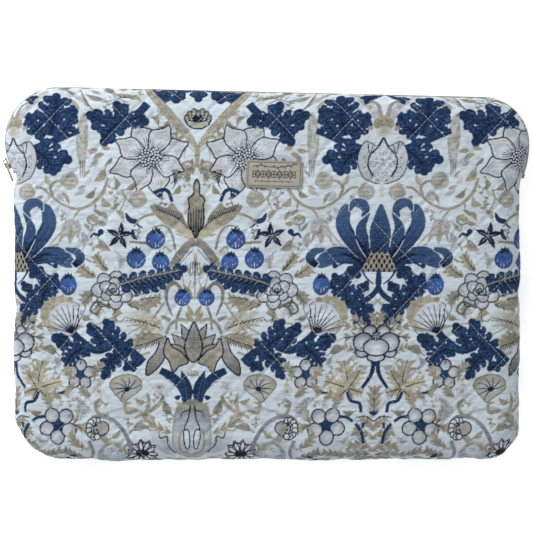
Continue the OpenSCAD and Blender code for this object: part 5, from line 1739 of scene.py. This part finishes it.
def fabric_print():
    N = Nodes("printed_cotton")
    p = N.node("Attribute", attribute_name="print").outputs["Color"]
    f = N.flat()
    slub = N.noise(N.mapping(f, (60, 900, 1)), 2.2, 3, 0.6)
    slub2 = N.noise(N.mapping(f, (900, 70, 1)), 2.0, 3, 0.6)
    cloud = N.noise(f, 38, 3, 0.6)
    fine = N.noise(f, 1500, 2, 0.6)
    tone = N.math("ADD", N.range(slub, 0.3, 0.7, -0.085, 0.085), N.range(slub2, 0.3, 0.7, -0.04, 0.04))
    tone = N.math("ADD", tone, N.range(cloud, 0.3, 0.7, -0.045, 0.045))
    tone = N.math("ADD", tone, N.range(fine, 0.3, 0.7, -0.05, 0.05))
    w = weave(N, f, 0.42)
    # painted shade: the threads are drawn lighter on their crests and darker in the hollows between them, following the
    # weave bump
    tone = N.math("ADD", tone, N.range(w, 0, 1, -0.06, 0.05))
    # where the ink lies thin, the pale yarn shows through
    show = N.range(N.math("ADD", slub, N.math("MULTIPLY", fine, 0.5)), 0.80, 1.02, 0.0, 0.14)
    c = N.mix(show, p, srgb(176, 188, 204))
    br = N.node("HueSaturation")
    N.put(br, "Color", c)
    N.put(br, "Value", N.math("ADD", tone, 1.0))
    N.set(Base_Color=br.outputs[0], Roughness=N.range(cloud, 0.3, 0.7, 0.80, 0.92))
    N.b.inputs["Specular IOR Level"].default_value = 0.10
    N.b.inputs["Sheen Weight"].default_value = 0.04
    N.b.inputs["Sheen Roughness"].default_value = 0.5
    h = N.math("ADD", N.math("MULTIPLY", slub, 0.9), N.math("MULTIPLY", slub2, 0.5))
    n1 = N.bump(h, 0.55, 0.00022)
    N.set(Normal=N.bump(w, 0.5, 0.00008, n1))
    return N.m


def plain_cloth(name, col, col2, pitch=0.4, sheen=0.3, rough=0.7):
    N = Nodes(name)
    f = N.flat()
    w = weave(N, f, pitch)
    cloud = N.noise(f, 60, 3, 0.6)
    c = N.mix(N.range(cloud, 0.3, 0.7, 0, 1), col, col2)
    br = N.node("HueSaturation")
    N.put(br, "Color", c)
    # painted shade: the weave's crests are drawn lighter and its hollows darker, following the weave bump
    N.put(br, "Value", N.range(w, 0, 1, 0.82, 1.12))
    N.set(Base_Color=br.outputs[0], Roughness=N.range(cloud, 0.2, 0.8, rough - 0.06, rough + 0.08))
    N.b.inputs["Sheen Weight"].default_value = sheen
    N.set(Normal=N.bump(w, 0.6, 0.00010, N.bump(N.noise(f, 300, 2), 0.3, 0.0002)))
    return N.m


def tape_mat():
    """Herringbone tape."""
    N = Nodes("zip_tape")
    f = N.flat()
    s = N.wave(N.mapping(f, (1, 1, 1), (0, 0, math.radians(45))), 2 * math.pi / (20 * 0.5e-3), "X", 0.4, 30)
    t = N.wave(N.mapping(f, (1, 1, 1), (0, 0, math.radians(-45))), 2 * math.pi / (20 * 0.5e-3), "X", 0.4, 30)
    sel = N.range(N.wave(f, 2 * math.pi / (20 * 2.4e-3), "X"), 0.4, 0.6, 0, 1)
    m = N.node("Mix", data_type="FLOAT")
    N.put(m, 0, sel)
    N.put(m, 2, s)
    N.put(m, 3, t)
    h = m.outputs[0]
    cloud = N.noise(f, 90, 3, 0.6)
    c = N.mix(N.range(cloud, 0.3, 0.7, 0, 1), srgb(168, 165, 153), srgb(148, 145, 133))
    br = N.node("HueSaturation")
    N.put(br, "Color", c)
    # painted shade: the herringbone's crests are drawn lighter and its hollows darker, following the bump
    N.put(br, "Value", N.range(h, 0, 1, 0.84, 1.1))
    N.set(Base_Color=br.outputs[0], Roughness=N.range(cloud, 0.3, 0.7, 0.74, 0.88), Normal=N.bump(h, 0.6, 0.00012))
    N.b.inputs["Sheen Weight"].default_value = 0.2
    return N.m


def solid(name, col, col2, rough, scale=400, metal=0.0, bump=0.2, dist=0.00004, spec=0.5, stretch=(1, 1, 1), coat=0.0):
    N = Nodes(name)
    o = N.mapping(N.obj(), stretch)
    n = N.noise(o, scale, 4, 0.62)
    big = N.noise(N.obj(), scale * 0.12, 3, 0.55)
    c = N.mix(N.range(n, 0.3, 0.7, 0, 1), col, col2)
    c = N.mix(N.range(big, 0.35, 0.7, 0.0, 0.35), c, tuple(0.82 * x for x in col))
    N.set(Base_Color=c, Roughness=N.range(n, 0.25, 0.75, rough - 0.07, rough + 0.09), Normal=N.bump(n, bump, dist))
    N.b.inputs["Metallic"].default_value = metal
    N.b.inputs["Specular IOR Level"].default_value = spec
    N.b.inputs["Coat Weight"].default_value = coat
    return N.m


def thread_mat(name, col, col2, pitch=0.35):
    """Plied sewing thread: slanted strands."""
    N = Nodes(name)
    o = N.obj()
    w = N.wave(N.mapping(o, (1, 1, 1), (0, math.radians(35), math.radians(12))), 2 * math.pi / (20 * pitch * 1e-3), "DIAGONAL", 0.5, 20)
    n = N.noise(o, 2200, 2, 0.6)
    # painted shade: the grooves between the slanted strands are drawn in the darker colour, following the strand bump
    c = N.mix(w, col2, col)
    c = N.mix(N.range(n, 0.4, 0.7, 0, 0.3), c, col2)
    N.set(Base_Color=c, Roughness=N.range(n, 0.3, 0.7, 0.5, 0.68), Normal=N.bump(w, 0.6, 0.00008))
    N.b.inputs["Sheen Weight"].default_value = 0.25
    return N.m


def leather_mat():
    N = Nodes("label_leather")
    f = N.flat()
    marks = N.node("SeparateColor")
    N.put(marks, 0, N.node("Attribute", attribute_name="marks").outputs["Color"])
    art, groove, rim = marks.outputs
    v = N.node("TexVoronoi", feature="DISTANCE_TO_EDGE")
    N.put(v, "Vector", N.mapping(f, (1, 1.25, 1)))
    v.inputs["Scale"].default_value = 1250
    cells = N.range(v.outputs[0], 0.0, 0.22, 0.0, 1.0)
    n = N.noise(f, 260, 4, 0.6)
    fine = N.noise(f, 2600, 2, 0.6)
    c = N.mix(N.range(n, 0.3, 0.7, 0, 1), srgb(160, 159, 149), srgb(142, 141, 132))
    c = N.mix(N.range(cells, 0, 1, 0.35, 0.0), c, srgb(122, 114, 98))
    c = N.mix(N.math("MULTIPLY", N.range(fine, 0.45, 0.7, 0, 0.35), 1.0), c, srgb(196, 190, 172))
    c = N.mix(N.math("MULTIPLY", groove, 0.30), c, srgb(112, 102, 84))
    c = N.mix(N.math("MULTIPLY", rim, 0.45), c, srgb(116, 104, 84))
    c = N.mix(N.math("MULTIPLY", art, 0.96), c, N.mix(N.range(n, 0.3, 0.7, 0, 1), srgb(66, 55, 56), srgb(90, 78, 76)))
    N.set(Base_Color=c, Roughness=N.range(n, 0.3, 0.7, 0.55, 0.75))
    N.b.inputs["Specular IOR Level"].default_value = 0.35
    N.set(Normal=N.bump(cells, 0.45, 0.00007, N.bump(fine, 0.2, 0.00004)))
    return N.m


def wadding_mat():
    N = Nodes("wadding")
    o = N.obj()
    n = N.noise(N.mapping(o, (1, 1, 4)), 900, 5, 0.7, 1.2)
    b = N.noise(o, 90, 3, 0.6)
    c = N.mix(N.range(n, 0.35, 0.65, 0, 1), srgb(214, 214, 208), srgb(238, 238, 234))
    c = N.mix(N.range(b, 0.4, 0.7, 0, 0.3), c, srgb(200, 200, 192))
    N.set(Base_Color=c, Roughness=N.range(n, 0.3, 0.7, 0.88, 0.98), Normal=N.bump(n, 0.8, 0.0004))
    N.b.inputs["Sheen Weight"].default_value = 0.4
    return N.m


# ---------------------------------------------------------------- build
GAIN = 0.84
draw_print()
filler()

MAT = {
    "printed_cotton": fabric_print(),
    "wadding": wadding_mat(),
    "lining": plain_cloth("lining", srgb(62, 70, 88), srgb(50, 57, 74), 0.36, 0.35, 0.62),
    "binding": plain_cloth("binding", srgb(50, 55, 70), srgb(40, 45, 58), 0.6, 0.3, 0.7),
    "zip_tape": tape_mat(),
    "zip_coil": solid("zip_coil", srgb(176, 172, 158), srgb(156, 151, 137), 0.42, 900, 0.0, 0.1, 0.00002, 0.5),
    "zip_metal": solid("zip_metal", srgb(160, 153, 131), srgb(134, 127, 106), 0.40, 700, 0.35, 0.12, 0.00002, 0.5, (1, 1, 6), 0.15),
    "quilting_thread": thread_mat("quilting_thread", srgb(196, 202, 208), srgb(164, 172, 182)),
    "label_leather": leather_mat(),
    "label_thread": thread_mat("label_thread", srgb(86, 78, 64), srgb(60, 54, 44), 0.4),
}


def finish_piece(o, mat, body, *nodes):
    o.data.materials.clear()
    o.data.materials.append(MAT[mat])
    if nodes:
        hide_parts(*nodes)
    if body == "fold":
        across_fold(o)
    else:
        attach(o, body)
    return o


FINE = 0.5
fc = finish_piece(cover("front_panel_cloth", FINE, False), "printed_cotton", "fold", "front_cover_lower", "front_cover_upper")
bc = finish_piece(cover("back_panel_cloth", 1.2, True), "printed_cotton", "sleeve_body", "back_cover")
fw = finish_piece(wadding("front_wadding", False), "wadding", "fold", "front_padding_lower", "front_padding_upper")
bw = finish_piece(wadding("back_wadding", True), "wadding", "sleeve_body", "back_padding")
finish_piece(lining("front_lining_cloth", False), "lining", "fold", "front_lining_lower", "front_lining_upper")
finish_piece(lining("back_lining_cloth", True), "lining", "sleeve_body", "back_lining")

tape_i = stations(0.04, 1.2)
chain_i = stations(0.5, 1.2, chain_ok)
finish_piece(strip("zip_woven_tape_back", tape_i, tape_section(False)), "zip_tape", "sleeve_body", "zip_tape_back")
finish_piece(strip("zip_woven_tape_front", chain_i, tape_section(True)), "zip_tape", "front_flap", "zip_tape_front")
finish_piece(strip("zip_edge_binding_back", tape_i, binding_section(False)), "binding", "sleeve_body", "zip_binding_back")
finish_piece(strip("zip_edge_binding_front", tape_i, binding_section(True)), "binding", "front_flap", "zip_binding_front")
for side in ("left", "right"):
    o = gusset("zip_end_gusset_" + side, side == "right")
    o.data.materials.append(MAT["zip_tape"])
    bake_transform(o)
low = np.where(~on_zip)[0]
finish_piece(strip("seam_tape_inside", low[::3], seam_section), "binding", "sleeve_body", "seam_binding")
for side, front, body in (("back", False, "sleeve_body"), ("front", True, "front_flap")):
    o = coil("zip_teeth_" + side, front)
    finish_piece(o, "zip_coil", body, "zip_coil_" + side)
    v, f, c = core("", front)
    finish_piece(new_mesh("zip_teeth_cord_" + side, v, [f, c]), "zip_tape", body)

v, f = quilt_threads("", False)
finish_piece(new_mesh("quilting_stitches_front", v, f), "quilting_thread", "fold", "quilting_thread_lower", "quilting_thread_upper")
v, f = quilt_threads("", True)
finish_piece(new_mesh("quilting_stitches_back", v, f), "quilting_thread", "sleeve_body")
finish_piece(leather_label("leather_label"), "label_leather", "front_flap", "label")
finish_piece(label_stitching("leather_label_stitching"), "label_thread", "front_flap", "label_stitches")

finish_piece(copy_node("zip_end_stop", ["zip_bottom_stop"], 0.0003, 3), "zip_metal", "sleeve_body", "zip_bottom_stop")
finish_piece(copy_node("zip_top_clip_back", ["zip_top_stop_back"], 0.0003, 3), "zip_metal", "sleeve_body", "zip_top_stop_back")
finish_piece(copy_node("zip_top_clip_front", ["zip_top_stop_front"], 0.0003, 3), "zip_metal", "front_flap", "zip_top_stop_front")
finish_piece(copy_node("zip_slider_plates", ["slider_body"], 0.00025, 3), "zip_metal", "zip_slider", "slider_body")
finish_piece(copy_node("zip_slider_bridge", ["slider_crown"], 0.0002, 3), "zip_metal", "zip_slider", "slider_crown")
finish_piece(copy_node("zip_puller", ["pull_tab"], 0.0002, 3), "zip_metal", "zip_pull", "pull_tab")

# ---------------------------------------------------------------- floor, light, camera
bpy.ops.mesh.primitive_plane_add(size=6, location=(0, 0, -0.0004))
floor = bpy.context.object
floor.name = "floor"
F = Nodes("floor")
F.set(Base_Color=F.mix(F.noise(F.obj(), 3, 2), (0.93, 0.93, 0.93), (0.95, 0.95, 0.95)))
F.b.inputs["Roughness"].default_value = 0.9
F.b.inputs["Emission Color"].default_value = (1, 1, 1, 1)
F.b.inputs["Emission Strength"].default_value = 0.52
F.b.inputs["Specular IOR Level"].default_value = 0.0
floor.data.materials.append(F.m)

sc = bpy.context.scene
sc.view_settings.view_transform = "Standard"
sc.view_settings.look = "None"
w = bpy.data.worlds.new("studio")
sc.world = w
w.use_nodes = True
w.node_tree.nodes["Background"].inputs[0].default_value = (0.97, 0.985, 1.0, 1)
w.node_tree.nodes["Background"].inputs[1].default_value = 0.60


def lamp(name, loc, to, size, power, col=(1, 1, 1)):
    l = bpy.data.lights.new(name, "AREA")
    l.shape, l.size, l.size_y, l.energy, l.color = "RECTANGLE", size[0], size[1], power, col
    o = bpy.data.objects.new(name, l)
    sc.collection.objects.link(o)
    from mathutils import Vector
    o.location = loc
    o.rotation_euler = (Vector(to) - Vector(loc)).to_track_quat("-Z", "Y").to_euler()
    return o


lamp("key", (-0.55, 0.85, 0.55), (-0.03, 0.03, 0), (0.7, 0.35), 7.5, (1, 0.99, 0.97))
lamp("fill", (-0.40, 0.35, 0.75), (-0.05, 0.02, 0), (0.6, 0.6), 3.0, (0.97, 0.985, 1))

cam = bpy.data.cameras.new("camera")
co = bpy.data.objects.new("camera", cam)
sc.collection.objects.link(co)
DIST = 3.0
co.location = (-0.000345, 0.00417, DIST + 0.02)
co.rotation_euler = (0, 0, 0)
cam.sensor_width = 36
cam.sensor_fit = "HORIZONTAL"
cam.lens = 36 * DIST / (533 * 0.69e-3)
cam.clip_start, cam.clip_end = 0.05, 20
sc.camera = co

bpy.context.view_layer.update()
